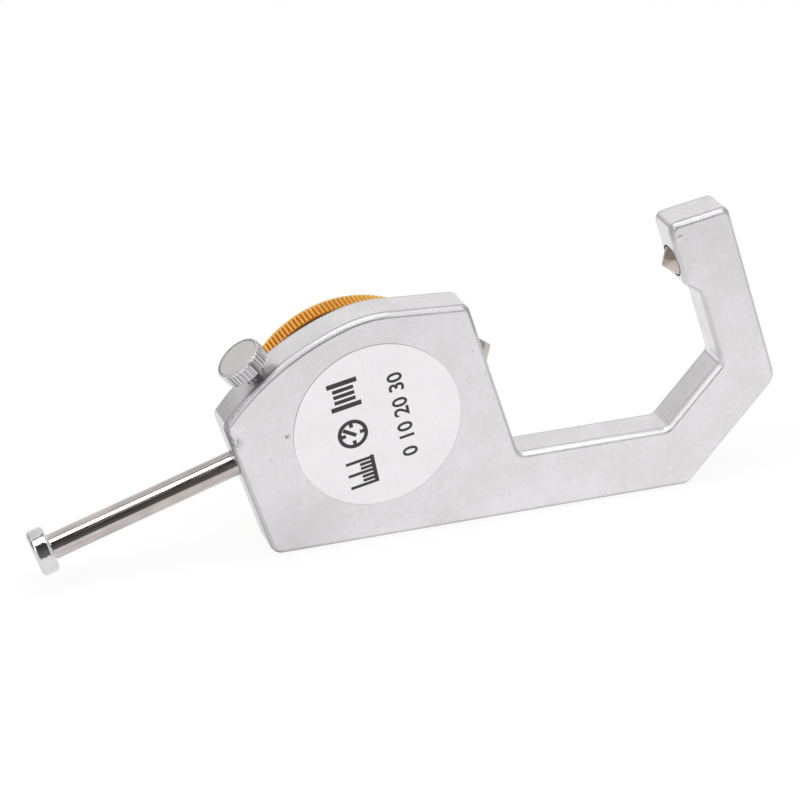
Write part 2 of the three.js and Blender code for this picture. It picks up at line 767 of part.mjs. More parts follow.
// A flat spiral strip that starts at the collet and ends at the stud
function hairspring() {
  const steps = hairspringTurns * smallSteps;
  const side = (offset) => Array.from({ length: steps + 1 }, (_, i) => {
    const radius = hairspringStart + hairspringPitch * i / smallSteps + offset;
    const turn = 2 * Math.PI * i / smallSteps;
    return [radius * Math.cos(turn), radius * Math.sin(turn)];
  });
  return sheet([...side(hairspringStrip / 2), ...side(-hairspringStrip / 2).reverse()], 0, hairspringHeight);
}

function arbor(profile) {
  return turned(profile, smallSteps);
}

// The lock screw: knurled knob, shank, and a neck that holds the pad
function lockScrew() {
  const neckEnd = lockPadTop - lockNeckLength + slideGap;
  const shankStart = lockPadTop + slideGap;
  const knobBack = lockKnobFace - lockKnobThickness;
  const shankEnd = knobBack + lockKnobEdge;
  const shank = alongLock([[0, neckEnd], [lockNeckRadius, neckEnd], [lockNeckRadius, shankStart],
    [lockShankRadius, shankStart], [lockShankRadius, shankEnd], [0, shankEnd]], smallSteps);
  const knurlOutline = toothedOutline(lockKnurls, lockKnobRadius - lockKnurlDepth, lockKnobRadius);
  const knurls = sheet(knurlOutline, -lockKnobFace, -knobBack).rotateX(-Math.PI / 2);
  const faceRadius = lockKnobRadius - lockKnobEdge;
  const knobForm = alongLock([[0, knobBack], [faceRadius, knobBack], [lockKnobRadius, knobBack + lockKnobEdge],
    [lockKnobRadius, lockKnobFace - lockKnobEdge], [faceRadius, lockKnobFace], [0, lockKnobFace]], roundSteps);
  return placeOnLock(join(shank, common(knurls, knobForm)));
}

// The pad's foot is cut on the slant, so that it lies flat along the rod.
function lockPad() {
  const bore = lockNeckRadius + slideGap;
  const boreEnd = lockPadTop - lockNeckLength;
  const body = placeOnLock(alongLock([[0, 0], [lockPadRadius, 0], [lockPadRadius, lockPadTop],
    [bore, lockPadTop], [bore, boreEnd], [0, boreEnd]], smallSteps));
  const reach = lockPadRadius + rodDiameter;
  return cut(body, block(lockMeetsRodX - reach, lockMeetsRodX + reach, -reach, rodRadius + lockPadPlay,
    rodDepth - reach, rodDepth + reach));
}

// Pieces fixed to the frame
piece('frame_casting', frameCasting(), castMetal);
const labelFront = labelSink - turnGap;
piece('back_label', disc(labelRadius, labelFront - labelThickness, labelFront), labelPaper, labelShift, labelY);
piece('rear_bush', bush(-bushSeatEnd + bushGap, bushLength - bushSeatEnd), brass);
piece('front_bush', bush(bushSeatEnd - bushLength, bushSeatEnd - bushGap), brass);
piece('anvil_tip', anvilTip(), steel, padFace);
piece('guide_key', guideKey(), steel, keyX);
const springBack = backWall + springPostHeight + turnGap;
const springScrewLength = springPostHeight + springHeight - seatGap + turnGap * 2;
const springScrewHead = springEyeRadius - seatGap;
piece('friction_spring', frictionSpring(springBack), steel);
piece('friction_spring_screw', screw(springScrewRadius, springScrewHead, screwHeadHeight, springScrewLength,
  screwSlotWidth, screwSlotDepth), steel, springPostX, springPostY, springBack + springHeight + turnGap);

// The movement, fixed in the frame
const pillars = around(pillarCount, pillarRing, pillarStartDeg, (x, y) => [x, y]);
const caseScrews = around(caseScrewCount, caseScrewRing, caseScrewStartDeg, (x, y) => [x, y]);
const dialScrews = [1, -1].map((side) => [side * dialScrewRing, -dialDrop]);
const pivotBore = pivotRadius + turnGap;
const counterY = counterRise - dialDrop;
const studX = hairspringEnd + studRadius;
const notchStart = bushSeatEnd - bushLength - seatGap;
const notchHalf = bushOuter + seatGap;
const bushNotches = [-1, 1].map((side) => block(side * bushSeatEnd, side * notchStart, -notchHalf, notchHalf,
  mainPlateBack - overrun, mainPlateFront + overrun));
piece('main_plate', cut(plateWithHoles(seatRadius - seatGap, mainPlateBack, mainPlateFront, [
  [0, -dialDrop, pivotBore], [idlerX, -dialDrop, pivotBore], [0, counterY, pivotBore],
  [rackArborX, -dialDrop, arborRadius + seatGap],
  ...pillars.map(([x, y]) => [x, y, pillarBoreRadius + turnGap]),
  ...caseScrews.map(([x, y]) => [x, y, caseScrewShankRadius + turnGap]),
]), ...bushNotches), brass);
const sunk = screwHeadHeight + screwHeadSink;
const headSeats = pillars.map(([x, y]) =>
  hole(screwHeadRadius + turnGap, bridgeFront - sunk, bridgeFront + overrun, x, y));
piece('bridge_plate', cut(plateWithHoles(bridgeRadius, bridgeBack, bridgeFront, [
  [0, -dialDrop, centreBushRadius + turnGap], [idlerX, -dialDrop, pivotBore], [0, counterY, pivotBore],
  [rackArborX, -dialDrop, pivotBore],
  ...pillars.map(([x, y]) => [x, y, screwShankRadius + turnGap]),
  ...dialScrews.map(([x, y]) => [x, y, screwShankRadius + turnGap]),
  [studX, counterY, studPinRadius + turnGap],
]), ...headSeats), brass);
const bridgeScrewShank = bridgeThickness - sunk + bridgeScrewLength - seatGap;
const pillarFoot = turnGap - mainPlateThickness;
const pillarTop = bridgeFromPlate - turnGap;
pillars.forEach(([x, y], i) => {
  const blank = turned([[0, pillarFoot], [pillarBoreRadius, pillarFoot], [pillarBoreRadius, turnGap],
    [pillarRadius, turnGap], [pillarRadius, pillarTop], [0, pillarTop]], smallSteps);
  const boreEnd = bridgeFromPlate - bridgeScrewLength;
  const bore = hole(screwShankRadius + turnGap, boreEnd, bridgeFromPlate + overrun, 0, 0);
  piece(`bridge_pillar_${i + 1}`, cut(blank, bore), brass, x, y, mainPlateFront);
  piece(`bridge_screw_${i + 1}`, screw(screwShankRadius, screwHeadRadius, screwHeadHeight, bridgeScrewShank,
    screwSlotWidth, screwSlotDepth), steel, x, y, bridgeFront - sunk + turnGap);
});
piece('case_ring', caseRing(), castMetal);
const caseHeadBack = caseBack + lugThickness + turnGap;
const caseScrewShank = caseHeadBack - mainPlateFront + caseScrewLength - seatGap;
caseScrews.forEach(([x, y], i) => {
  piece(`case_screw_${i + 1}`, screw(caseScrewShankRadius, caseScrewHeadRadius, screwHeadHeight, caseScrewShank,
    screwSlotWidth, screwSlotDepth), steel, x, y, caseHeadBack);
});
const pivotBushBack = backWall - pivotBushLength + turnGap;
piece('rack_pivot_bush', ring(pivotBore, pivotBushRadius, pivotBushBack, backWall, smallSteps), brass,
  rackArborX, -dialDrop);
const centreBore = centreArborRadius + turnGap;
piece('centre_bush', ring(centreBore, centreBushRadius, bridgeBack, bridgeFront, smallSteps), brass,
  0, -dialDrop);
piece('centre_dial', plateWithHoles(scaleInner - seatGap, dialBack, dialFront, [
  [0, -dialDrop, arborRadius + seatGap], [0, counterY, arborRadius + seatGap],
  ...dialScrews.map(([x, y]) => [x, y, screwShankRadius + turnGap]),
]), dialWhite);
dialScrews.forEach(([x, y], i) => {
  piece(`dial_screw_${i + 1}`, screw(screwShankRadius, screwHeadRadius, dialScrewHead, dialScrewLength,
    screwSlotWidth, dialScrewHead / 2), steel, x, y, dialFront + turnGap);
});
piece('hairspring', hairspring(), steel, 0, counterY, hairspringPlane);
const studShoulder = bridgeBack - turnGap;
const studEnd = bridgeFront - turnGap;
piece('hairspring_stud', turned([[0, hairspringPlane], [studRadius, hairspringPlane], [studRadius, studShoulder],
  [studPinRadius, studShoulder], [studPinRadius, studEnd], [0, studEnd]], smallSteps), brass, studX, counterY);

// The spindle slides with its tip and cap.
piece('spindle_rod', spindleRod(), chrome);
piece('contact_tip', contactTip(), steel, spindleApex - tipConeLength);
piece('end_cap', endCap(), chrome);

// Rack arbor, idler, centre arbor and counter arbor, each with its wheel
const halfTooth = (teeth) => Math.PI / teeth;
const up = Math.PI / 2;
const wheelBore = arborRadius + turnGap;
const trainFront = trainPlane + wheelThickness;
const counterFront = counterPlane + wheelThickness;
const shoulder = bridgeBack - turnGap;
const plateEnd = mainPlateFront + turnGap;
const pivotEnd = bridgeFront - turnGap;
const platePivot = [[0, mainPlateBack + turnGap], [pivotRadius, mainPlateBack + turnGap],
  [pivotRadius, plateEnd], [arborRadius, plateEnd], [arborRadius, shoulder]];
const frontPivot = [[pivotRadius, shoulder], [pivotRadius, pivotEnd], [0, pivotEnd]];
const rackPivotEnd = pivotBushBack + turnGap;
const rackShoulder = backWall + turnGap;
const pinionBack = rodDepth - rackPinionLength / 2;
const rackRoot = rackPinionRadius - rootDepthShare * rackAddendum;
const rackTip = rackPinionRadius + tipHeightShare * rackAddendum;
const rackPhase = up + halfTooth(rackPinionTeeth);
const rackPinion = sheet(toothedOutline(rackPinionTeeth, rackRoot, rackTip, rackPhase),
  pinionBack, pinionBack + rackPinionLength);
piece('rack_arbor', join(
  arbor([[0, rackPivotEnd], [pivotRadius, rackPivotEnd], [pivotRadius, rackShoulder], [arborRadius, rackShoulder],
    [arborRadius, shoulder], ...frontPivot]),
  rackPinion,
), steel, rackArborX, -dialDrop);
const trainWheel = (phase) => wheel(trainTeeth, trainModule, wheelBore, trainPlane, trainFront, phase);
piece('rack_wheel', trainWheel(0), brass, rackArborX, -dialDrop);
piece('idler_arbor', arbor([...platePivot, ...frontPivot]), steel, idlerX, -dialDrop);
piece('idler_wheel', trainWheel(halfTooth(trainTeeth)), brass, idlerX, -dialDrop);
const centreEnd = pointerBack + pointerHubHeight;
const counterRoot = counterPinionRadius - rootDepthShare * counterModule;
const counterTip = counterPinionRadius + tipHeightShare * counterModule;
const counterPinion = sheet(toothedOutline(counterPinionTeeth, counterRoot, counterTip, up),
  counterPlane, counterFront);
piece('centre_arbor', join(
  arbor([...platePivot, [centreArborRadius, shoulder], [centreArborRadius, centreEnd], [0, centreEnd]]),
  counterPinion,
), steel, 0, -dialDrop);
piece('centre_wheel', trainWheel(0), brass, 0, -dialDrop);
piece('main_pointer', hand(pointerLength, pointerTail, pointerWidth, pointerTipWidth, hubRadius, centreBore)
  .rotateZ(Math.PI), handBlack, 0, -dialDrop, pointerBack);
const hubBack = pointerBack + handThickness + turnGap;
piece('pointer_hub', ring(centreBore, hubRadius, hubBack, centreEnd, smallSteps), brass, 0, -dialDrop);
const counterEnd = smallHandBack + handThickness + turnGap;
piece('counter_arbor', arbor([...platePivot, [pivotRadius, shoulder], [pivotRadius, counterEnd],
  [0, counterEnd]]), steel, 0, counterY);
const counterTeeth = counterPinionTeeth * counterRatio;
piece('counter_wheel', wheel(counterTeeth, counterModule, wheelBore, counterPlane, counterFront,
  halfTooth(counterTeeth) - up), brass, 0, counterY);
piece('hairspring_collet', ring(wheelBore, colletRadius, hairspringPlane, hairspringPlane + hairspringHeight,
  smallSteps), brass, 0, counterY);
const smallHand = hand(smallHandLength, smallHandTail, smallHandWidth, pointerTipWidth, smallHubRadius,
  pivotBore);
piece('small_pointer', smallHand.rotateZ(Math.PI), handRed, 0, counterY, smallHandBack);

// The bezel turns with the crystal and the scale ring.
const seatInBezel = bezelBore - turnGap;
const rehautInner = seatInBezel - rehautWall;
const gasketInner = crystalRadius + turnGap;
piece('bezel', bezel(), gold, 0, -dialDrop);
piece('bezel_wire', bezelWire(), steel, 0, -dialDrop);
piece('scale_ring', ring(scaleInner, seatInBezel, dialBack, dialFront), dialWhite, 0, -dialDrop);
piece('rehaut_ring', turned([[rehautInner, rehautBack], [seatInBezel, rehautBack], [seatInBezel, rehautFront],
  [rehautInner + rehautFlare, rehautFront], [rehautInner, rehautBack]]), dialWhite, 0, -dialDrop);
piece('crystal', disc(crystalRadius, crystalBack, crystalFront), clear, 0, -dialDrop);
piece('crystal_gasket', ring(gasketInner, seatInBezel, crystalBack, crystalFront), blackRubber,
  0, -dialDrop);

// The lock screw carries its pad to the rod.
piece('lock_pad', lockPad(), brass);
piece('lock_screw', lockScrew(), chrome);

// The gauge stands on its lower edge: the origin is the middle of that edge.
const across = (x) => x * Math.cos(standTiltDeg * rad) - yOn(standEdge, x) * Math.sin(standTiltDeg * rad);
const standMiddle = (across(housingLeft) + across(meet(standEdge, bracketOuter)[0])) / 2;
gauge.rotation.z = standTiltDeg * rad;
const upright = new THREE.Group();
upright.rotation.x = Math.PI / 2;
upright.position.set(-standMiddle, -castingThickness / 2, standDrop);
upright.add(gauge);
const assembly = new THREE.Group();
assembly.add(upright);
export default assembly;
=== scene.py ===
# %% [markdown]
# # A dial thickness gauge
# A hand gauge that measures sheets and walls up to 30 mm: a C-shaped die-cast frame, a sliding steel rod
# with a small cone on its end, a fixed cone facing it, and a dial with a golden ribbed bezel on the far
# side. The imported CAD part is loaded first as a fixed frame. Each visible piece is then modelled again with
# fine edges in the place of its CAD node, and the hidden movement keeps its CAD solids with better
# finishes.

# %% Load the fixed frame
import json
import math

import bpy
from mathutils import Matrix, Vector


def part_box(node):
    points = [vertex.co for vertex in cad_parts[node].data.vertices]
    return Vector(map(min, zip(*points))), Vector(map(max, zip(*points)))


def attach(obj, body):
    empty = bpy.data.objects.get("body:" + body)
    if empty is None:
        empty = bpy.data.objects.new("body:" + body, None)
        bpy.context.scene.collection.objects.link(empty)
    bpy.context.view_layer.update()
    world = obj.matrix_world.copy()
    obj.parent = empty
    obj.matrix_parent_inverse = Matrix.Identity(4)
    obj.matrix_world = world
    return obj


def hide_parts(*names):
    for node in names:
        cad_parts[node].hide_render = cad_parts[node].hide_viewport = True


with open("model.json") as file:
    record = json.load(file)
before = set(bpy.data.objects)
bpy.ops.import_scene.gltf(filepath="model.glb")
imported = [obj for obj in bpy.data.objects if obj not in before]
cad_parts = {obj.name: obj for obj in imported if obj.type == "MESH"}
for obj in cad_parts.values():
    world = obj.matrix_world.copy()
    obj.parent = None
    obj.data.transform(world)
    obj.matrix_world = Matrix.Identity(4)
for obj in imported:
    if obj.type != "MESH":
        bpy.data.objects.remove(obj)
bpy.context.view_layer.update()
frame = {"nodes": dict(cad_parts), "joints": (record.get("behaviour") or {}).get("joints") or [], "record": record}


# %% [markdown]
# ## Where things are
# The gauge's own frame is the handiest to model in: x runs along the rod towards the fixed cone, y points
# up across the rod, and depth runs from the labelled back face through to the dial. All of it can be read
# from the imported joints: the slide gives the rod's direction, and the bezel's axis gives the dial's centre.
# Modelling is done in millimetres, and one matrix then carries each finished mesh to its place in metres.

# %% The gauge's own frame
joints = {joint["name"]: joint for joint in frame["joints"]}
rod_way = Vector(joints["spindle_slide"]["axis"])
tilt = math.atan2(rod_way.z, rod_way.x)
up_way = Vector((-math.sin(tilt), 0, math.cos(tilt)))
depth_way = Vector((0, 1, 0))
dial_centre = Vector(joints["bezel_turn"]["pos_m"]) * 1000
casting_thickness = 7
rod_diameter = 4
rod_box = [corner * 1000 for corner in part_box("spindle_rod")]
rod_middle = (rod_box[0] + rod_box[1]) / 2
dial_drop = (rod_middle - dial_centre).dot(up_way)
origin = dial_centre + up_way * dial_drop
origin.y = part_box("frame_casting")[0].y * 1000
placed = (Matrix.Scale(0.001, 4) @ Matrix.Translation(origin) @ Matrix.Rotation(math.pi / 2, 4, "X")
          @ Matrix.Rotation(tilt, 4, "Z"))
to_gauge = placed.inverted()


def gauge_range(node):
    """The lowest and highest x, y and depth of a CAD node, in millimetres in the gauge's frame."""
    points = [to_gauge @ vertex.co for vertex in frame["nodes"][node].data.vertices]
    lows = [min(point[axis] for point in points) for axis in range(3)]
    highs = [max(point[axis] for point in points) for axis in range(3)]
    return {"x": (lows[0], highs[0]), "y": (lows[1], highs[1]), "depth": (-highs[2], -lows[2])}


def middle(node, axis="x"):
    return (reach[node][axis][0] + reach[node][axis][1]) / 2


def half(node, axis="x"):
    return (reach[node][axis][1] - reach[node][axis][0]) / 2


reach = {node: gauge_range(node) for node in frame["nodes"]}
print(f"tilt {math.degrees(tilt):.2f} degrees, dial {dial_drop:.3f} mm below the rod")
for node in ("frame_casting", "bezel", "spindle_rod", "crystal"):
    print(node, {axis: [round(v, 3) for v in pair] for axis, pair in reach[node].items()})

# %% [markdown]
# ## The camera
# The photograph looks down on the labelled back from the left with a long lens. The camera stands where a
# fit of the frame's straight edges and the label's ellipse put it, with the lens that the same fit gave.

# %% The camera
camera_place = Vector((-0.1458, -0.3829, 0.2211))
camera_azimuth = math.radians(-19.094)
camera_elevation = math.radians(26.194)
camera_roll = math.radians(-0.326)
camera_lens = 131.34

bpy.ops.object.select_all(action="DESELECT")
bpy.ops.object.camera_add(location=camera_place)
camera = bpy.context.object
camera.name = "camera"
look = Vector((-math.sin(camera_azimuth) * math.cos(camera_elevation),
               math.cos(camera_azimuth) * math.cos(camera_elevation), -math.sin(camera_elevation)))
camera.rotation_mode = "QUATERNION"
roll_turn = Matrix.Rotation(camera_roll, 4, "Z").to_quaternion()
camera.rotation_quaternion = look.to_track_quat("-Z", "Y") @ roll_turn
camera.data.lens = camera_lens
camera.data.clip_start = 0.01
camera.data.clip_end = 20
bpy.context.scene.camera = camera
bpy.context.scene.view_settings.view_transform = "Standard"
print("camera", [round(v, 4) for v in camera.location], "looks", [round(v, 3) for v in look])

# %% [markdown]
# ## Working by hand, in code
# Every new piece is made with the tools of the modelling window. A shape starts as a single point that is
# pulled along a line of points. A closed line is filled and extruded, a profile is spun round an axis, and
# holes are cut by Boolean modifiers. These few helpers hold the steps that every piece repeats.

# %% Selecting
def mode(name):
    bpy.ops.object.mode_set(mode=name)


def deselect():
    if bpy.context.mode != "OBJECT":
        mode("OBJECT")
    bpy.ops.object.select_all(action="DESELECT")


def only(piece):
    """Leaves one piece selected and active."""
    deselect()
    piece.select_set(True)
    bpy.context.view_layer.objects.active = piece
    return piece


def open_whole(piece):
    """Opens a piece in edit mode with all of it selected."""
    only(piece)
    mode("EDIT")
    bpy.ops.mesh.select_all(action="SELECT")


def pick(piece, kind, test):
    """Opens a piece in edit mode with the vertices or edges selected whose corner points all pass a test."""
    only(piece)
    mesh = piece.data
    bpy.context.tool_settings.mesh_select_mode = (kind == "VERT", kind == "EDGE", False)
    for group in (mesh.vertices, mesh.edges, mesh.polygons):
        for item in group:
            item.select = False
    for item in {"VERT": mesh.vertices, "EDGE": mesh.edges}[kind]:
        corners = [item] if kind == "VERT" else [mesh.vertices[i] for i in item.vertices]
        item.select = all(test(corner.co) for corner in corners)
    mode("EDIT")


def resize(x, y, depth, centre_depth=0.0):
    """Resizes what is selected about a point of the depth axis and closes edit mode."""
    bpy.ops.transform.resize(value=(x, y, depth), center_override=(0, 0, -centre_depth))
    mode("OBJECT")


# %% Drawing lines and filling them
def draw(name, points, loop=False):
    """A chain of edges through the points, pulled out of one vertex. It stays in edit mode, all selected."""
    deselect()
    bpy.ops.mesh.primitive_plane_add(size=1)
    piece = bpy.context.object
    piece.name = name
    piece.data.name = name
    bpy.context.tool_settings.mesh_select_mode = (True, False, False)
    mode("EDIT")
    bpy.ops.mesh.merge(type="CENTER")
    here = Vector(points[0])
    bpy.ops.transform.translate(value=here)
    for point in points[1:]:
        there = Vector(point)
        bpy.ops.mesh.extrude_vertices_move(TRANSFORM_OT_translate={"value": there - here})
        here = there
    if loop:
        mode("OBJECT")
        for vertex in piece.data.vertices:
            vertex.select = vertex.index in (0, len(points) - 1)
        mode("EDIT")
        bpy.ops.mesh.edge_face_add()
    bpy.ops.mesh.select_all(action="SELECT")
    return piece


def tidy_faces(piece, merge=0.0002):
    """Merges doubled points and turns all faces outwards."""
    open_whole(piece)
    bpy.ops.mesh.remove_doubles(threshold=merge)
    bpy.ops.mesh.normals_make_consistent(inside=False)
    mode("OBJECT")
    return piece


def slab(name, outline, back, front):
    """A closed outline of (x, y) points, filled and extruded from one depth to another."""
    piece = draw(name, [(x, y, -back) for x, y in outline], loop=True)
    bpy.ops.mesh.edge_face_add()
    bpy.ops.mesh.extrude_region_move(TRANSFORM_OT_translate={"value": (0, 0, back - front)})
    return tidy_faces(piece)


def bar(x0, y0, x1, y1, back, front):
    return slab("bar", [(x0, y0), (x1, y0), (x1, y1), (x0, y1)], back, front)


def turned(name, profile, steps=96, loop=False):
    """Spins a profile of (radius, depth) points round the depth axis. A loop stays hollow."""
    piece = draw(name, [(radius, 0, -depth) for radius, depth in profile], loop)
    bpy.ops.mesh.spin(steps=steps, angle=2 * math.pi, center=(0, 0, 0), axis=(0, 0, 1))
    return tidy_faces(piece)


def disc(name, radius, back, front, steps=64):
    return turned(name, [(0, back), (radius, back), (radius, front), (0, front)], steps)


def ring(name, inner, outer, back, front, steps=192, flare=0.0):
    """A flat ring. A flare widens its hole towards the front."""
    profile = [(inner, back), (outer, back), (outer, front), (inner + flare, front)]
    return turned(name, profile, steps, loop=True)


def spun_copies(piece, copies):
    """Copies a piece evenly all the way round the depth axis."""
    open_whole(piece)
    to_last = 2 * math.pi / copies * (copies - 1)
    bpy.ops.mesh.spin(steps=copies - 1, dupli=True, angle=to_last, center=(0, 0, 0), axis=(0, 0, 1))
    mode("OBJECT")
    return piece


# %% Moving and cutting
def moved(piece, *matrices):
    """Moves a piece and keeps the place in its mesh. The last matrix acts first."""
    only(piece)
    whole = Matrix.Identity(4)
    for matrix in matrices:
        whole = whole @ matrix
    piece.matrix_world = whole @ piece.matrix_world
    bpy.ops.object.transform_apply(location=True, rotation=True, scale=True)
    return piece


def at(x, y, depth=0.0):
    return Matrix.Translation((x, y, -depth))


def turn_by(angle):
    return Matrix.Rotation(angle, 4, "Z")


def apply_modifier(piece, kind, **settings):
    only(piece)
    modifier = piece.modifiers.new(kind.lower(), kind)
    for key, value in settings.items():
        setattr(modifier, key, value)
    bpy.ops.object.modifier_apply(modifier=modifier.name)
    return piece


def combined(piece, tool, operation):
    apply_modifier(piece, "BOOLEAN", operation=operation, solver="EXACT", object=tool)
    bpy.data.objects.remove(tool)


def cut(piece, *tools):
    """Subtracts closed tools from a piece, one after the other."""
    for tool in tools:
        combined(piece, tool, "DIFFERENCE")
    return piece


def joined(name, pieces):
    """Puts meshes into the first one without welding them."""
    only(pieces[0])
    for other in pieces[1:]:
        other.select_set(True)
    bpy.ops.object.join()
    pieces[0].name = name
    return pieces[0]


# %% Softening and placing
def polished(piece, angle=34):
    """Smooth shading with flat faces kept flat."""
    only(piece)
    bpy.ops.object.shade_smooth_by_angle(angle=math.radians(angle))
    return apply_modifier(piece, "WEIGHTED_NORMAL", keep_sharp=True, weight=80)


def softened(piece, width, segments=2, angle=32, smooth=34):
    """Rounds every edge that is sharper than an angle, and polishes the piece."""
    apply_modifier(piece, "BEVEL", width=width, segments=segments, limit_method="ANGLE",
                   angle_limit=math.radians(angle), use_clamp_overlap=True)
    return polished(piece, smooth)


def give(piece, finish):
    piece.data.materials.clear()
    piece.data.materials.append(finish)


def settle(piece, body, finish, slot, *nodes):
    """Carries a finished mesh from millimetres to its place, gives it its finish and lets it ride."""
    moved(piece, placed)
    give(piece, finish)
    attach(piece, body)
    if nodes:
        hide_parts(*nodes)
    triangles = sum(len(face.vertices) - 2 for face in piece.data.polygons)
    print(f"{piece.name}: {triangles} triangles on {body}")


on_dial_axis = at(0, -dial_drop)


def settle_on_dial(piece, body, finish, slot, *nodes, x=0.0, y=0.0):
    """Settles a piece that was made round the dial's axis, or at x and y from it."""
    settle(moved(piece, on_dial_axis, at(x, y)), body, finish, slot, *nodes)


# %% [markdown]
# ## Sums on sockets
# A procedural finish is a sum of masks and noises. This small class lets such a sum be written as one line
# of arithmetic, and each sign adds its Math node. Any other node comes from the one method of a finish. All
# sizes are in millimetres, as in the modelling, and so are the masks that measure where a point of the
# surface lies.

# %% Shader sums
def plug(tree, socket, value):
    if isinstance(value, Socket):
        tree.links.new(value.out, socket)
    else:
        socket.default_value = value


class Socket:
    """An output in a node tree that can be added, multiplied and compared."""

    def __init__(self, tree, out):
        self.tree = tree
        self.out = out

    def _sum(self, operation, first, second):
        node = self.tree.nodes.new("ShaderNodeMath")
        node.operation = operation
        plug(self.tree, node.inputs[0], first)
        plug(self.tree, node.inputs[1], second)
        return Socket(self.tree, node.outputs[0])

    def __add__(self, other):
        return self._sum("ADD", self, other)

    def __radd__(self, other):
        return self._sum("ADD", other, self)

    def __sub__(self, other):
        return self._sum("SUBTRACT", self, other)

    def __rsub__(self, other):
        return self._sum("SUBTRACT", other, self)

    def __mul__(self, other):
        return self._sum("MULTIPLY", self, other)

    def __rmul__(self, other):
        return self._sum("MULTIPLY", other, self)

    def least(self, other):
        return self._sum("MINIMUM", self, other)


class Finish:
    """A material round one Principled shader."""

    def __init__(self, name, **constants):
        self.material = bpy.data.materials.new(name)
        self.material.use_nodes = True
        self.tree = self.material.node_tree
        self.shader = self.tree.nodes["Principled BSDF"]
        for key, value in constants.items():
            self.shader.inputs[key.replace("_", " ")].default_value = value
        self.place = self.node("ShaderNodeTexCoord", output="Object")

    def node(self, kind, settings=None, inputs=None, output=0):
        """Adds a node: its settings first, then values or links by socket name or number."""
        node = self.tree.nodes.new(kind)
        for key, value in (settings or {}).items():
            setattr(node, key, value)
        for key, value in (inputs or {}).items():
            plug(self.tree, node.inputs[key], value)
        return Socket(self.tree, node.outputs[output])

    def vector(self, operation, first, second=None, output=0):
        inputs = {0: first} if second is None else {0: first, 1: second}
        return self.node("ShaderNodeVectorMath", {"operation": operation}, inputs, output)

    def turned_place(self, turn, scale=(1, 1, 1)):
        """Object coordinates seen in another turn and scale."""
        return self.node("ShaderNodeMapping", {"vector_type": "TEXTURE"},
                         {"Vector": self.place, "Rotation": turn, "Scale": scale})

    def noise(self, size, detail=3.0, roughness=0.5, place=None):
        """Soft noise whose blotches are about one size across."""
        return self.node("ShaderNodeTexNoise", None, {"Vector": place or self.place, "Scale": 1000 / size,
                                                      "Detail": detail, "Roughness": roughness})

    def step(self, value, low, high):
        """0 below low, 1 above high, smooth between."""
        return self.node("ShaderNodeMapRange", {"interpolation_type": "SMOOTHSTEP"},
                         {"Value": value, "From Min": low, "From Max": high})

    def band(self, value, start, full, last, end):
        """1 from full to last, fading to 0 at start and at end."""
        return self.step(value, start, full) * self.step(value, end, last)

    def mix(self, factor, first, second):
        node = self.tree.nodes.new("ShaderNodeMix")
        node.data_type = "RGBA"
        for number, value in ((0, factor), (6, first), (7, second)):
            plug(self.tree, node.inputs[number], value)
        return Socket(self.tree, node.outputs[2])

    def tint(self, tone, dark, pale, low=0.35, high=0.65):
        return self.mix(self.step(tone, low, high), dark, pale)

    def along(self, way, start=placed.translation):
        """How far a point lies along a direction from a start."""
        reached = self.vector("DOT_PRODUCT", self.place, way, "Value")
        return (reached - start.dot(way)) * 1000

    def off_axis(self, way, start):
        """How far a point lies from an axis."""
        from_start = self.vector("SUBTRACT", self.place, start)
        return self.vector("LENGTH", self.vector("CROSS_PRODUCT", from_start, way), None, "Value") * 1000

    def near(self, x, y, radius, soft):
        """1 within a radius of a point on the back face, fading to 0 over a soft width."""
        away = self.vector("DISTANCE", self.place, placed @ Vector((x, y, 0)), "Value") * 1000
        return self.step(away, radius + soft, radius)

    def set(self, name, value):
        plug(self.tree, self.shader.inputs[name], value)

    def bump(self, height, distance, strength=0.5):
        """Roughens the surface and gives back the finished material."""
        self.set("Normal", self.node("ShaderNodeBump", None, {"Height": height, "Distance": distance / 1000,
                                                              "Strength": strength}))
        return self.material

    def cover(self, factor, shader):
        """Mixes another shader over this one and gives back the finished material."""
        own = Socket(self.tree, self.shader.outputs[0])
        both = self.node("ShaderNodeMixShader", None, {0: factor, 1: own, 2: shader})
        plug(self.tree, self.tree.nodes["Material Output"].inputs["Surface"], both)
        return self.material


def rgb(red, green, blue):
    """A colour given in the 0 to 255 of a screen, as the shader's linear values."""
    def linear(value):
        share = value / 255
        return share / 12.92 if share <= 0.04045 else ((share + 0.055) / 1.055) ** 2.4
    return (linear(red), linear(green), linear(blue), 1)


def grey(level):
    return (level, level, level, 1)


# %% [markdown]
# ## The finish of the casting
# The frame is cast in zinc alloy and plated with a satin chrome. Close up it isn't even: there are soft
# cloudy blotches, fine pits, hairline scratches from the tumbling drum, a few dark specks, and the plating
# is scuffed where the rod enters. A metallic shader with small changes of tone and roughness gives this,
# and a faint bump breaks up the reflections. Painted shade also darkens the base colour along the rims,
# in the creases, at the left end, low on the front and along the foot.

# %% Satin plated casting
edge_round = 0.8
rim_depth = 1.04
housing_left, arm_right = reach["frame_casting"]["x"]
housing_right = -housing_left


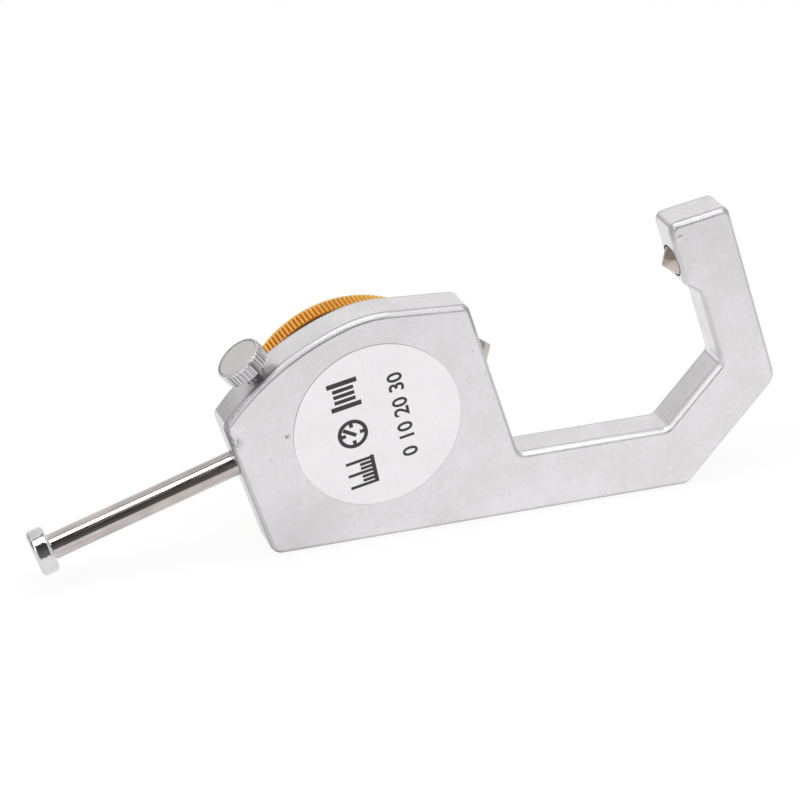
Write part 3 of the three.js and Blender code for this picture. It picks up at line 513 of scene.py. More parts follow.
def worn_rims(satin, clouds, fine):
    """Painted shade: the dark lines along the rounded rims, the darker creases, and the greyer left end."""
    depth = satin.along(depth_way)
    to_rim = depth.least(casting_thickness - depth) * (1 / rim_depth)
    rim = satin.band(to_rim, 0.02, 0.1, 0.9, 1.1)
    painted_dark_line = satin.band(to_rim + (fine - 0.5) * 0.35, 0.26, 0.32, 0.4, 0.46)
    crease = satin.step(to_rim + (fine - 0.5) * 0.12, 0.93, 0.99) * satin.step(to_rim, 1.12, 1.03)
    x = satin.along(rod_way)
    uprights = satin.step(x, housing_left + 1.3, housing_left + 0.7)
    uprights = uprights + satin.step(x, arm_right - 1.3, arm_right - 0.7)
    uprights = uprights + satin.band(x - housing_right, -1.1, -0.5, 0.1, 0.4)
    left_face = satin.step(x, housing_left + 0.3, housing_left + 0.1)
    high = satin.step(satin.along(up_way), 4, 6)
    # Painted shade and painted dark lines: darker rims high up and on the uprights, a dark line inside each rim,
    # darker creases and a greyer left end.
    painted_rim_shade = rim * 0.08 + high * (rim * 0.26 + painted_dark_line * 0.3) + left_face * 0.2
    painted_rim_shade = painted_rim_shade + uprights * (rim * 0.2 + crease * 0.3) + crease * satin.step(clouds, 0.3, 0.5) * 0.55
    return rim, painted_rim_shade.least(1)


def satin_casting():
    satin = Finish("satin_casting", Metallic=1.0, Roughness=0.3)
    clouds = satin.noise(6, detail=4)
    fine = satin.noise(0.9)
    grain = satin.noise(0.22, detail=2)
    tone = clouds * 0.5 + fine * 0.3 + grain * 0.2
    long_way = satin.turned_place((0, -0.9, 0.15), (14, 1, 0.8))
    hairs = satin.step(satin.noise(0.35, detail=2, place=long_way), 0.66, 0.74)
    patch = satin.step(satin.noise(11, detail=2), 0.45, 0.62)
    cells = satin.node("ShaderNodeTexVoronoi", None, {"Vector": satin.place, "Scale": 1000 / 1.9}, "Distance")
    pits = satin.step(cells, 0.1, 0.05) * satin.step(satin.noise(4.3, detail=1), 0.6, 0.66)
    # Painted shade along the rims, in the creases and at the left end.
    rim, painted_rim_shade = worn_rims(satin, clouds, fine)

    scuffs = satin.near(housing_left + 0.7, 4.9, 0.3, 1.4)
    scuffs = scuffs * satin.step(satin.noise(0.35, detail=4, roughness=0.7), 0.44, 0.56)
    dashes = satin.near(housing_left + 0.55, 7.3, 0.12, 0.12)
    dashes = dashes + satin.near(housing_left + 0.5, 6.3, 0.12, 0.12)
    rust = satin.near(-12.4, 2.3, 0.2, 0.3) * satin.step(satin.noise(0.3), 0.35, 0.5)
    stains = satin.near(57.4, -0.4, 0.4, 2.2) * satin.step(satin.noise(0.5), 0.5, 0.62)
    # Painted shade: a broad darkening low on the front, and a painted contact shadow along the foot. The heel's
    # dark specks are real.
    painted_low_shade = satin.near(-18.5, -17, 1, 13) * 0.24
    foot = satin.step(satin.along(Vector((0, 0, 1)), Vector()), 1.1, 0.3)
    heel = satin.near(housing_left + 0.35, -16.6, 0.5, 0.9) * satin.step(fine, 0.42, 0.6)
    specks_and_painted_shade = painted_low_shade + foot * 0.5 + heel * 0.6

    colour = satin.tint(tone, rgb(222, 220, 221), rgb(235, 233, 235), 0.34, 0.66)
    for mask, over in ((hairs * patch * 0.35, rgb(190, 190, 194)), (pits * 0.55, rgb(120, 118, 118)),
                       (painted_rim_shade, rgb(128, 127, 131)), (stains * 0.25, rgb(190, 178, 150)),
                       (rust * 0.8, rgb(122, 92, 70)), (specks_and_painted_shade, rgb(128, 126, 126)),
                       (scuffs * 0.5 + dashes * 0.8, rgb(84, 84, 84))):
        colour = satin.mix(mask, colour, over)
    satin.set("Base Color", colour)
    satin.set("Roughness", 0.23 + tone * 0.14 + scuffs * 0.2 + rim * 0.17)
    height = clouds * 0.9 + fine * 0.24 + grain * 0.05 - pits * 0.3 - scuffs * 0.25 + fine * rim * 0.3
    blob = satin.near(55.9, 5.1, 0.22, 0.4)
    notch = satin.near(8.7, 14.4, 0.1, 0.4)
    return satin.bump(height + blob * 0.9 + notch * 1.2, 0.09, 0.55)


casting_finish = satin_casting()
print("finish", casting_finish.name)

# %% [markdown]
# ## The outline of the casting
# The frame's outline is a dozen straight edges with rounded corners and a crown of two arcs over the dial.
# It is drawn from the same few measures as the CAD part, with finer arcs. Each straight edge is a line with
# an angle and an offset, two lines meet in a corner, and a corner is rounded by an arc that touches both
# edges.

# %% Measures of the casting
back_wall = 1.2
bezel_radius = half("bezel")
crown_rise = 0.34
crown_peak_shift = 2.25
crown_left_radius = 39.7
crown_right_radius = 19.5
crown_fall = math.radians(20.99)
stand_tilt = tilt
stand_clearance = 1.36
beam_depth = 10.75
bracket_tilt = math.radians(48.69)
bracket_depth = 10.28
throat_depth = 19.11
arm_thickness = 8.12
pad_step = 2.09
pad_step_slant = 2.6
pad_drop = 3.4
arm_top_height = 7.77
arm_top_fall = math.radians(7.54)
pad_face = arm_right - arm_thickness - pad_step
corner_steps = 9
crown_steps = 22
shoulder_round = 1.6
heel_round = 2
toe_round = 2.2
elbow_round = 3
arm_top_round = 1.4
throat_round = 1.2
pad_round = 1.1


# %% Lines, corners and arcs
def line_at(angle, offset):
    return (-math.sin(angle), math.cos(angle), offset)


def line_through(angle, x, y):
    nx, ny, _ = line_at(angle, 0)
    return (nx, ny, nx * x + ny * y)


def y_on(line, x):
    nx, ny, offset = line
    return (offset - nx * x) / ny


def meet(first, second):
    ax, ay, a = first
    bx, by, b = second
    det = ax * by - bx * ay
    return ((a * by - b * ay) / det, (ax * b - bx * a) / det)


def rounded(before, corner, after, radius, steps=corner_steps):
    """The points of an arc that touches both edges of a corner."""
    at_corner = Vector(corner)
    first = (Vector(before) - at_corner).normalized()
    second = (Vector(after) - at_corner).normalized()
    half_angle = math.acos(first.dot(second)) / 2
    away = radius / math.tan(half_angle)
    centre = at_corner + (first + second).normalized() * (radius / math.sin(half_angle))
    start = at_corner + first * away - centre
    end = at_corner + second * away - centre
    turn = math.atan2(start.x * end.y - start.y * end.x, start.dot(end))
    points = []
    for i in range(steps + 1):
        angle = turn * i / steps
        points.append((centre.x + start.x * math.cos(angle) - start.y * math.sin(angle),
                       centre.y + start.x * math.sin(angle) + start.y * math.cos(angle)))
    return points


def crown_point(radius, turn):
    crown_top = bezel_radius + crown_rise - dial_drop
    return (crown_peak_shift + radius * math.sin(turn), crown_top - radius + radius * math.cos(turn))


def casting_outline():
    arm_inner = pad_face + pad_step
    stand_drop = dial_drop * math.cos(stand_tilt) + bezel_radius + stand_clearance
    stand_edge = line_at(-stand_tilt, -stand_drop)
    beam_top = line_at(-stand_tilt, beam_depth - stand_drop)
    bracket_inner = line_through(bracket_tilt - stand_tilt, arm_inner, -throat_depth)
    bracket_outer = (bracket_inner[0], bracket_inner[1], bracket_inner[2] - bracket_depth)
    arm_top = line_through(-arm_top_fall, pad_face, arm_top_height)
    fall_start = crown_point(crown_right_radius, crown_fall)
    fall_height = (housing_right - fall_start[0]) * math.tan(crown_fall)
    left_turn = -math.asin((crown_peak_shift - housing_left) / crown_left_radius)
    corners = [(crown_point(crown_left_radius, left_turn), shoulder_round),
               ((housing_left, y_on(stand_edge, housing_left)), heel_round),
               (meet(stand_edge, bracket_outer), toe_round),
               ((arm_right, y_on(bracket_outer, arm_right)), elbow_round),
               ((arm_right, y_on(arm_top, arm_right)), arm_top_round),
               ((pad_face, arm_top_height), arm_top_round),
               ((pad_face, -pad_drop), pad_round),
               ((arm_inner, -pad_drop - pad_step_slant), pad_round),
               ((arm_inner, -throat_depth), throat_round),
               (meet(beam_top, bracket_inner), throat_round),
               ((housing_right, y_on(beam_top, housing_right)), throat_round),
               ((housing_right, fall_start[1] - fall_height), shoulder_round)]
    crown = []
    for i in range(crown_steps + 1):
        crown.append(crown_point(crown_right_radius, crown_fall * (1 - i / crown_steps)))
    for i in range(1, crown_steps):
        crown.append(crown_point(crown_left_radius, left_turn * i / crown_steps))
    places = [crown[-1]] + [corner for corner, _ in corners] + [fall_start]
    arcs = [rounded(places[i], corner, places[i + 2], radius) for i, (corner, radius) in enumerate(corners)]
    return sum(arcs[1:], []) + crown + arcs[0]


outline = casting_outline()
print("outline points", len(outline))

# %% [markdown]
# ## The casting
# The outline is filled, extruded to the casting's seven millimetres, and the two rims are bevelled in seven
# small steps, because the round edges carry the bright lines of the photograph. The dial's well, the rod's
# bore, the seats of the cones and the screw holes are then cut by Boolean modifiers, as a mill would open
# them.

# %% The blank with its rounded rims
along_rod = at(0, 0, casting_thickness / 2) @ Matrix.Rotation(math.pi / 2, 4, "Y")
overrun = 1
rim_steps = 7
rim_profile = 0.4
tiny = 0.001


def along(name, profile, steps=48):
    """A profile of (radius, place along the rod) spun round the rod's axis."""
    return moved(turned(name, [(radius, -place) for radius, place in profile], steps), along_rod)


def bore(radius, start, end, steps=48):
    return along("bore", [(0, start), (radius, start), (radius, end), (0, end)], steps)


def hole(radius, back, front, x=0.0, y=0.0, steps=32):
    return moved(disc("hole", radius, back, front, steps), at(x, y))


casting = slab("casting", outline, 0, casting_thickness)
for rim in (0, casting_thickness):
    pick(casting, "EDGE", lambda point: abs(point.z + rim) < tiny)
    bpy.ops.mesh.bevel(offset=edge_round, segments=rim_steps, profile=rim_profile, affect="EDGES",
                       clamp_overlap=False)
    mode("OBJECT")
    pick(casting, "VERT", lambda point: tiny / 10 < abs(point.z + rim) < edge_round + tiny)
    resize(1, 1, rim_depth / edge_round, rim)
tidy_faces(casting)
print("blank", len(casting.data.polygons), "faces")

# %% Its holes and seats
rod_radius = rod_diameter / 2
slide_gap = 0.08
bush_gap = 0.1
rod_bore = rod_radius + slide_gap
bush_wall = 0.7
bush_outer = rod_bore + bush_wall
bush_seat_end = reach["front_bush"]["x"][1] + bush_gap
pocket_radius = 13.0
seat_radius = 16.4
plate_gap = 0.225
plate_seat_depth = reach["main_plate"]["depth"][0] - plate_gap
tip_radius = 2.4
tip_seat_gap = 0.4
tip_room = 0.2
tip_seat_start = reach["spindle_rod"]["x"][1] - tip_room
ring_gap = 0.32
ring_depth = 0.7
anvil_room = 0.3
anvil_seat_end = reach["anvil_tip"]["x"][1] + anvil_room
lock_meets_rod = -8.5
lock_tilt = math.radians(20.6)
lock_shank = 1.5
lock_gap = 0.12
lock_bore = lock_shank + lock_gap
lock_reach = 20
key_x = middle("guide_key")
key_radius = 0.85
pinion_room_radius = 2.2
label_x = middle("back_label")
label_y = middle("back_label", "y")
label_radius = half("back_label")
label_sink = 0.05
on_lock_axis = at(lock_meets_rod, 0, casting_thickness / 2) @ turn_by(lock_tilt)
upright = Matrix.Rotation(math.pi / 2, 4, "X")
rack_arbor_x = middle("rack_arbor")
above_casting = casting_thickness + overrun

cut(casting,
    moved(disc("well", pocket_radius, back_wall, above_casting, 128), on_dial_axis),
    moved(disc("seat", seat_radius, plate_seat_depth, above_casting, 128), on_dial_axis),
    hole(label_radius + bush_gap, -overrun, label_sink, label_x, label_y, 160),
    bore(rod_bore, housing_left - overrun, housing_right + overrun, 64),
    bore(bush_outer + bush_gap, -bush_seat_end, bush_seat_end, 64),
    bore(tip_radius + tip_seat_gap, tip_seat_start, housing_right + overrun, 64),
    bore(tip_radius + bush_gap, pad_face - overrun, anvil_seat_end, 64),
    bore(tip_radius + ring_gap, pad_face - overrun, pad_face + ring_depth, 64),
    moved(disc("lock_hole", lock_bore, rod_diameter, lock_reach, 48), on_lock_axis, upright),
    hole(key_radius + bush_gap, casting_thickness / 2, above_casting, key_x, 0),
    hole(pinion_room_radius, back_wall, casting_thickness, rack_arbor_x, -dial_drop))
settle(polished(casting, 30), "frame", casting_finish, "cast_metal", "frame_casting")

# %% [markdown]
# ## The label
# The label on the back is a disc of white plastic-coated paper with dark print. The print is generic: three
# signs, which are a ruler's ticks, a dial, and two jaws round a sheet, with plain numbers beside them. It
# could be an image, but a shape keeps its sharp edges from close up. The print is a hair's breadth thick,
# so each sign is a flat shape raised by that much.

# %% Paper and ink
def paper_finish():
    paper = Finish("label_paper", Roughness=0.42, Specular_IOR_Level=0.35)
    fibres = paper.noise(0.35, detail=4, roughness=0.6)
    waves = paper.noise(7, detail=2)
    paper.set("Base Color", paper.tint(fibres * 0.6 + waves * 0.4, rgb(239, 237, 238), rgb(244, 242, 243)))
    paper.set("Roughness", 0.38 + fibres * 0.12)
    return paper.bump(fibres * 0.25 + waves, 0.05, 0.4)


def ink_finish(name, dark, pale):
    ink = Finish(name, Roughness=0.45)
    cover = ink.noise(0.25)
    ink.set("Base Color", ink.tint(cover, dark, pale, 0.35, 0.75))
    ink.set("Roughness", 0.4 + cover * 0.2)
    return ink.material


paper_white = paper_finish()
label_ink = ink_finish("label_ink", rgb(44, 41, 43), rgb(66, 62, 65))
print("finishes", paper_white.name, label_ink.name)

# %% The label's disc
label_back, label_front = reach["back_label"]["depth"]
label = softened(disc("label", label_radius, label_back, label_front, 192), 0.035)
settle(moved(label, at(label_x, label_y)), "frame", paper_white, "label", "back_label")

# %% The printed signs
print_height = 0.012
stroke = 0.62
label_turn = math.radians(-6.5)
sign_size = 4.9
sign_half = sign_size / 2
sign_pitch = 7
sign_column = -4.2
on_back = (label_back - print_height, label_back)


def ruler_sign():
    marks = [bar(-sign_half, -sign_half, sign_half, -sign_half + stroke, *on_back)]
    for i in range(7):
        left = -sign_half + i * (sign_size - stroke) / 6
        tall = (0.95 if i % 3 == 0 else 0.5) * sign_size
        marks.append(bar(left, -sign_half + stroke, left + stroke * 0.8, -sign_half + tall, *on_back))
    return marks


def dial_sign():
    marks = [ring("rim", sign_half - stroke, sign_half, *on_back, 72)]
    for turn in (0, 90, 180, 270):
        tick = bar(sign_half - stroke * 2.1, -stroke / 2, sign_half - stroke * 0.9, stroke / 2, *on_back)
        marks.append(moved(tick, turn_by(math.radians(turn))))
    needle = bar(-stroke, -stroke / 2, sign_half * 0.72, stroke / 2, *on_back)
    return marks + [moved(needle, turn_by(math.radians(52)))]


def jaws_sign():
    jaw = stroke * 1.3
    marks = [bar(-sign_half, -sign_half, jaw - sign_half, sign_half, *on_back),
             bar(sign_half - jaw, -sign_half, sign_half, sign_half, *on_back)]
    for i in (-1, 0, 1):
        left = i * stroke * 1.55 - stroke / 2
        marks.append(bar(left, -sign_half * 0.7, left + stroke, sign_half * 0.7, *on_back))
    return marks


marks = []
for sign, place in ((ruler_sign, -sign_pitch), (dial_sign, 0), (jaws_sign, sign_pitch)):
    marks += [moved(mark, at(sign_column, place), turn_by(math.pi / 2)) for mark in sign()]
print("marks", len(marks))

# %% [markdown]
# ## Numbers
# Printed numbers are text objects turned into meshes: the letters' own outline with a hair of thickness.
# The same helper serves the label and the dial. On the label the numbers read from the back, and on the
# dial from the front with the dial's top towards the end of the rod.

# %% Flat numbers as meshes
number_column = 4.2
label_number_size = 3.4
label_number_bold = 0.06


def number(body, size, height, bold=0.0):
    """Text on the plane z = 0, centred, as a mesh with a little thickness."""
    deselect()
    bpy.ops.object.text_add()
    text = bpy.context.object.data
    text.body = body
    text.size = size
    text.align_x = "CENTER"
    text.align_y = "CENTER"
    text.extrude = height / 2
    text.offset = bold
    text.resolution_u = 4
    bpy.ops.object.convert(target="MESH")
    return tidy_faces(bpy.context.object, 0.0001)


for place, body in ((-6.2, "0"), (-2.6, "10"), (1.8, "20"), (6.2, "30")):
    figure = number(body, label_number_size, print_height, label_number_bold)
    marks.append(moved(figure, at(number_column, place, label_back - print_height / 2), turn_by(math.pi / 2)))
label_print = moved(joined("label_print", marks), at(label_x, label_y), turn_by(label_turn))
settle(label_print, "frame", label_ink, "label")

# %% [markdown]
# ## Bright metals
# The rod, its cap and the lock screw are nickel plated: almost mirrors, with a warm grey tint and fine
# marks left by polishing. The two cones are bare hardened steel with turning lines. Brass and plain steel
# serve the hidden movement. All are metallic shaders that differ in tint, in roughness and in the way that
# their marks run.

# %% Nickel, steel and brass
rod_turn = (0, -tilt, 0)


def cap_plating():
    metal = Finish("cap_chrome", Metallic=1.0, Roughness=0.08)
    cloud = metal.noise(1.3)
    fine = metal.noise(0.3)
    metal.set("Base Color", metal.tint(cloud * 0.6 + fine * 0.4, rgb(209, 206, 210), rgb(224, 221, 225)))
    metal.set("Roughness", 0.064 + cloud * 0.024 + fine * 0.024)
    return metal.bump(cloud + fine * 0.3, 0.08)


def turned_steel(name, dark, pale, rough, line, shade_on_top=0.0):
    """Steel with fine rings from turning, set square to the rod, and painted shade on its upper side."""
    metal = Finish(name, Metallic=1.0, Roughness=rough)
    rings = metal.node("ShaderNodeTexWave", {"wave_type": "BANDS", "bands_direction": "X"},
                       {"Vector": metal.turned_place(rod_turn), "Scale": 1000 / line, "Distortion": 1.5,
                        "Detail": 2.0}, "Fac")
    cloud = metal.noise(1.2)
    colour = metal.mix(rings * 0.4 + cloud * 0.6, dark, pale)
    if shade_on_top:
        # Painted shade: the side above the axis is darkened in the base colour.
        painted_top_shade = metal.step(metal.along(up_way) + cloud * 0.4, 0.9, 1.4)
        colour = metal.mix(painted_top_shade * shade_on_top, colour, rgb(92, 84, 78))
    metal.set("Base Color", colour)
    metal.set("Roughness", rough * 0.75 + cloud * rough * 0.5)
    return metal.bump(rings * 0.4 + cloud * 0.3, 0.01)


def rod_plating():
    """Plated bar with fine streaks along its length."""
    metal = Finish("nickel_plate", Metallic=1.0, Roughness=0.11)
    streaks = metal.noise(0.45, detail=5, roughness=0.7, place=metal.turned_place(rod_turn, (45, 1, 1)))
    cloud = metal.noise(3, detail=4)
    specks = metal.step(metal.noise(0.35, detail=4, roughness=0.7), 0.6, 0.72)
    tone = streaks * 0.75 + cloud * 0.25
    metal.set("Base Color", metal.tint(tone, rgb(176, 168, 165), rgb(208, 201, 198), 0.36, 0.64))
    metal.set("Roughness", 0.077 + metal.step(streaks, 0.5, 0.62) * 0.176 + specks * 0.07)
    return metal.bump(streaks + cloud * 0.3, 0.005, 0.6)


nickel = rod_plating()
cap_chrome = cap_plating()
tip_steel = turned_steel("tip_steel", rgb(184, 173, 164), rgb(218, 209, 201), rough=0.3, line=0.6, shade_on_top=0.6)
plain_steel = turned_steel("plain_steel", rgb(168, 166, 163), rgb(194, 192, 188), rough=0.28, line=0.8)
brass = turned_steel("brass", rgb(190, 150, 74), rgb(212, 174, 96), rough=0.27, line=1.1)
print("metals", [metal.name for metal in (nickel, cap_chrome, tip_steel, plain_steel, brass)])

# %% [markdown]
# ## The spindle
# A 4 mm rod slides through the frame. A long keyway on its dial side lets the guide key stop it from
# turning, and the rack is cut on its underside where the pinion runs. The cap is a turned button with
# rounded edges, and the contact tip a cone with a rounded nose. Each is a spun profile, and the rod gets
# its cuts by Boolean.

# %% The keyway and the rack
rod_left, rod_right = reach["spindle_rod"]["x"]
travel = joints["spindle_slide"]["range_m"][1] * 1000
key_half = 0.58
key_depth = 0.5
key_end_room = 0.3
rack_pitch = 0.625
rack_drop = 1.2
rack_addendum = rack_pitch / math.pi
teeth_beyond = 2
root_share, tip_share, tip_height_share, root_depth_share = 0.28, 0.12, 0.85, 1.2
rack_end_room = 0.2


def keyway_tool():
    floor_depth = casting_thickness / 2 + rod_radius - key_depth
    outline = []
    for x, turn in ((key_x + key_end_room, -90), (key_x - travel - key_end_room, 90)):
        for i in range(13):
            angle = math.radians(turn + 180 * i / 12)
            outline.append((x + key_half * math.cos(angle), key_half * math.sin(angle)))
    return slab("keyway", outline, floor_depth, floor_depth + overrun)


def rack_tool():
    crest = -rack_drop - tip_height_share * rack_addendum
    root = -rack_drop + root_depth_share * rack_addendum
    low = -rod_radius - overrun
    line = []
    for i in range(-math.ceil(travel / rack_pitch) - teeth_beyond, teeth_beyond + 1):
        tooth = rack_arbor_x + i * rack_pitch
        line += [(tooth - root_share * rack_pitch, root), (tooth - tip_share * rack_pitch, crest),
                 (tooth + tip_share * rack_pitch, crest), (tooth + root_share * rack_pitch, root)]
    first, last = line[0][0] - rack_end_room, line[-1][0] + rack_end_room
    return slab("rack", [(first, low), (first, root), *line, (last, root), (last, low)],
                casting_thickness / 2 + low, casting_thickness / 2 - low)


# %% The rod and its cap
stub_bore = 1.08
stub_depth = 3.25
cap_left, cap_right = reach["end_cap"]["x"]
cap_radius = 0.955 * half("end_cap", "y")
cap_face = rod_left - slide_gap
cap_edge = 0.68
cap_steps = 7
stub_radius = 1


def soft_profile(points, radii, steps=6):
    """A profile whose inner corners are rounded by arcs of the given radii."""
    line = [points[0]]
    for i in range(1, len(points) - 1):
        if radii[i]:
            line += rounded(points[i - 1], points[i], points[i + 1], radii[i], steps)
        else:
            line.append(points[i])
    return line + [points[-1]]


rod = along("rod", [(0, rod_left), (rod_radius, rod_left), (rod_radius, rod_right), (0, rod_right)], 128)
cut(rod, bore(stub_bore, rod_right - stub_depth, rod_right + overrun),
    bore(stub_bore, rod_left - overrun, rod_left + stub_depth), keyway_tool(), rack_tool())
settle(polished(rod, 25), "spindle", nickel, "chrome", "spindle_rod")

cap_points = [(0, cap_left), (cap_radius, cap_left), (cap_radius, cap_face), (stub_radius, cap_face),
              (stub_radius, cap_right), (0, cap_right)]
end_cap = along("cap", soft_profile(cap_points, [0, cap_edge, cap_edge, 0, 0, 0], cap_steps), 128)
settle(polished(end_cap, 40), "spindle", cap_chrome, "chrome", "end_cap")

# %% The two cones
cone_length = 1.86
tip_body = 1.6
nose_radius = 0.3
nose_length = 0.16
nose_round = 0.25
tip_edge = 0.12
tip_left, tip_right = reach["contact_tip"]["x"]
anvil_left, anvil_right = reach["anvil_tip"]["x"]


def cone_line(start, apex, body):
    """From the shoulder at start, over the cone, to the rounded nose at the apex."""
    way = 1 if apex > start else -1
    shoulder = apex - way * cone_length
    points = [(tip_radius, shoulder - way * body), (tip_radius, shoulder),
              (nose_radius, apex - way * nose_length), (0, apex)]
    return soft_profile(points, [0, tip_edge, nose_round, 0], 5)


stub_line = [(0, tip_left), (stub_radius, tip_left), (stub_radius, tip_right - cone_length - tip_body)]
contact_cone = along("contact_cone", stub_line + cone_line(tip_left, tip_right, tip_body), 96)
settle(polished(contact_cone, 30), "spindle", tip_steel, "steel", "contact_tip")
anvil_length = anvil_right - anvil_left - cone_length
anvil_cone = along("anvil_cone", [(0, anvil_right)] + cone_line(anvil_right, anvil_left, anvil_length), 96)
settle(polished(anvil_cone, 30), "frame", tip_steel, "steel", "anvil_tip")

# %% [markdown]
# ## The bezel
# The bezel is golden anodised, with 160 fine ribs round its skirt for the fingers. Its section is spun
# round the dial's axis with six columns to a rib. The ribs are then pressed in: the columns between the
# crests are picked by their angle and scaled towards the axis, deepest in the valley, so that each rib is
# round on top and sharp in its groove.

# %% Golden anodising
bezel_back, bezel_front = reach["bezel"]["depth"]


def golden():
    gold = Finish("golden_anodising", Metallic=0.92, Roughness=0.3)
    cloud = gold.noise(3)
    fine = gold.noise(0.25)
    from_back = gold.along(depth_way) - bezel_back
    # Painted shade at the bezel's back end, beside the casting.
    painted_back_shade = gold.step(from_back + (cloud - 0.5) * 0.3, 0.4, 0.12)
    away = gold.off_axis(depth_way, dial_centre / 1000)
    # Painted shade in the grooves between the ribs.
    groove = gold.step(away, bezel_radius - 0.15, bezel_radius - 0.32) * gold.step(from_back, 4.1, 3.7)
    clean = gold.tint(cloud * 0.5 + fine * 0.5, rgb(240, 178, 66), rgb(252, 200, 96))
    groove_shaded = gold.mix(groove * 0.6, clean, rgb(176, 92, 22))
    gold.set("Base Color", gold.mix(painted_back_shade * 0.75, groove_shaded, rgb(112, 62, 24)))
    gold.set("Roughness", 0.24 + fine * 0.12)
    return gold.bump(fine * 0.4 + cloud * 0.2, 0.012)


golden_finish = golden()

# %% The bezel's section, spun
rib_count = 160
rib_columns = 6
rib_depth = 0.35
rib_length = 3.9
rib_end = bezel_back + rib_length
rib_fade = 0.25
bezel_root = bezel_radius - rib_depth
bezel_chamfer = 0.9
crest_chamfer = 0.12
face_gap = 0.3
bezel_step = reach["case_ring"]["depth"][1] + face_gap
crystal_back, crystal_front = reach["crystal"]["depth"]
seat_gap = 0.25
gasket_gap = 0.06
lip_width = 1.1
lip_depth = crystal_front + seat_gap
bezel_bore = reach["crystal_gasket"]["x"][1] + gasket_gap
lip_inner = bezel_bore - lip_width
wire_radius = 0.22
wire_half = 0.28
wire_depth = middle("bezel_wire", "depth")
wire_reach = half("bezel_wire") - wire_radius + wire_half
foot_round, top_round, lip_round = 0.4, 0.3, 0.15

chamfer_foot = (bezel_root, bezel_front - bezel_chamfer)
chamfer_top = (bezel_root - bezel_chamfer, bezel_front)
section = [(seat_radius, bezel_back), (bezel_radius - crest_chamfer, bezel_back),
           (bezel_radius, bezel_back + crest_chamfer), (bezel_radius, rib_end - rib_fade),
           (bezel_root, rib_end)]
section += rounded((bezel_root, rib_end), chamfer_foot, chamfer_top, foot_round, 4)
section += rounded(chamfer_foot, chamfer_top, (lip_inner, bezel_front), top_round, 4)
lip_corner = (lip_inner, bezel_front)
section += rounded((bezel_root, bezel_front), lip_corner, (lip_inner, lip_depth), lip_round, 3)
section += [(lip_inner, lip_depth), (bezel_bore, lip_depth), (bezel_bore, bezel_step),
            (seat_radius, bezel_step), (seat_radius, wire_depth + wire_half),
            (wire_reach, wire_depth + wire_half), (wire_reach, wire_depth - wire_half),
            (seat_radius, wire_depth - wire_half)]
bezel_ring = turned("bezel_ring", section, rib_count * rib_columns, loop=True)
print("bezel", len(bezel_ring.data.polygons), "faces")


# %% The ribs pressed in
def press_column(column):
    """Presses one column of every rib towards the axis, and its mirror in the same rib."""
    def in_column(point):
        place = (math.atan2(point.y, point.x) / (2 * math.pi) * rib_count) % 1 * rib_columns
        near = min(abs(place - column), abs(place - (rib_columns - column)))
        return point.z > tiny - rib_end and math.hypot(point.x, point.y) > bezel_root + 0.1 and near < 0.1

    press = rib_depth * (1 - abs(math.cos(math.pi * column / rib_columns)))
    share = (bezel_radius - press) / bezel_radius
    pick(bezel_ring, "VERT", in_column)
    resize(share, share, 1)


for column in range(1, rib_columns // 2 + 1):
    press_column(column)
settle_on_dial(polished(bezel_ring, 50), "bezel_set", golden_finish, "bezel_gold", "bezel")

# %% [markdown]
# ## The crystal and its rings
# The crystal is a flat acrylic disc pressed against a black gasket. Under it a white slope, the rehaut,
# leads the eye down to the scale. The glass lets lamp light through, so that the dial below isn't in its
# shade.

# %% Acrylic, rubber and dial paint
def acrylic():
    clear = Finish("acrylic_crystal", Transmission_Weight=1.0, IOR=1.49, Roughness=0.02)
    haze = clear.noise(4, detail=2)
    clear.set("Base Color", clear.mix(haze, (0.985, 0.99, 0.99, 1), grey(1)))
    clear.set("Roughness", haze * 0.03)
    lamp_ray = clear.node("ShaderNodeLightPath", output="Is Shadow Ray")
    return clear.cover(lamp_ray, clear.node("ShaderNodeBsdfTransparent"))


def matt(name, dark, pale, rough, size=0.4, bump=0.01):
    paint = Finish(name, Roughness=rough)
    grain = paint.noise(size)
    cloud = paint.noise(size * 14, detail=2)
    paint.set("Base Color", paint.tint(grain * 0.5 + cloud * 0.5, dark, pale))
    paint.set("Roughness", rough * 0.85 + grain * rough * 0.3)
    return paint.bump(grain, bump, 0.4)


crystal_clear = acrylic()
dial_paint = matt("dial_paint", rgb(238, 238, 234), rgb(245, 245, 242), rough=0.4)
rubber = matt("gasket_rubber", rgb(24, 24, 25), rgb(40, 40, 41), rough=0.65, size=0.3, bump=0.02)
dial_ink = ink_finish("dial_ink", rgb(20, 20, 22), rgb(34, 34, 36))
pointer_black = matt("pointer_black", rgb(14, 14, 15), rgb(26, 26, 28), rough=0.3, size=0.2)
pointer_red = matt("pointer_red", rgb(165, 22, 22), rgb(188, 36, 32), rough=0.32, size=0.2)

# %% The crystal, the gasket and the rehaut
crystal_radius = half("crystal")
glass = softened(disc("glass", crystal_radius, crystal_back, crystal_front, 192), 0.12, 3)
settle_on_dial(glass, "bezel_set", crystal_clear, "crystal", "crystal")

gasket_inner = crystal_radius + gasket_gap
gasket = ring("gasket", gasket_inner, half("crystal_gasket"), crystal_back, crystal_front)
settle_on_dial(softened(gasket, 0.08, 3), "bezel_set", rubber, "rubber", "crystal_gasket")

rehaut_width = 0.8
rehaut_inner = half("rehaut_ring") - rehaut_width
slope = ring("slope_ring", rehaut_inner, half("rehaut_ring"), *reach["rehaut_ring"]["depth"], flare=0.25)
settle_on_dial(softened(slope, 0.05), "bezel_set", dial_paint, "dial_white", "rehaut_ring")

# %% [markdown]
# ## The scale
# One turn of the hand is ten millimetres, so the ring has a hundred ticks of a tenth, longer at each half
# and at each whole millimetre, and the numbers 0 to 9. One tick of each kind is drawn and spun into ten
# copies. The ring turns with the bezel, and that is how the gauge is set to zero.

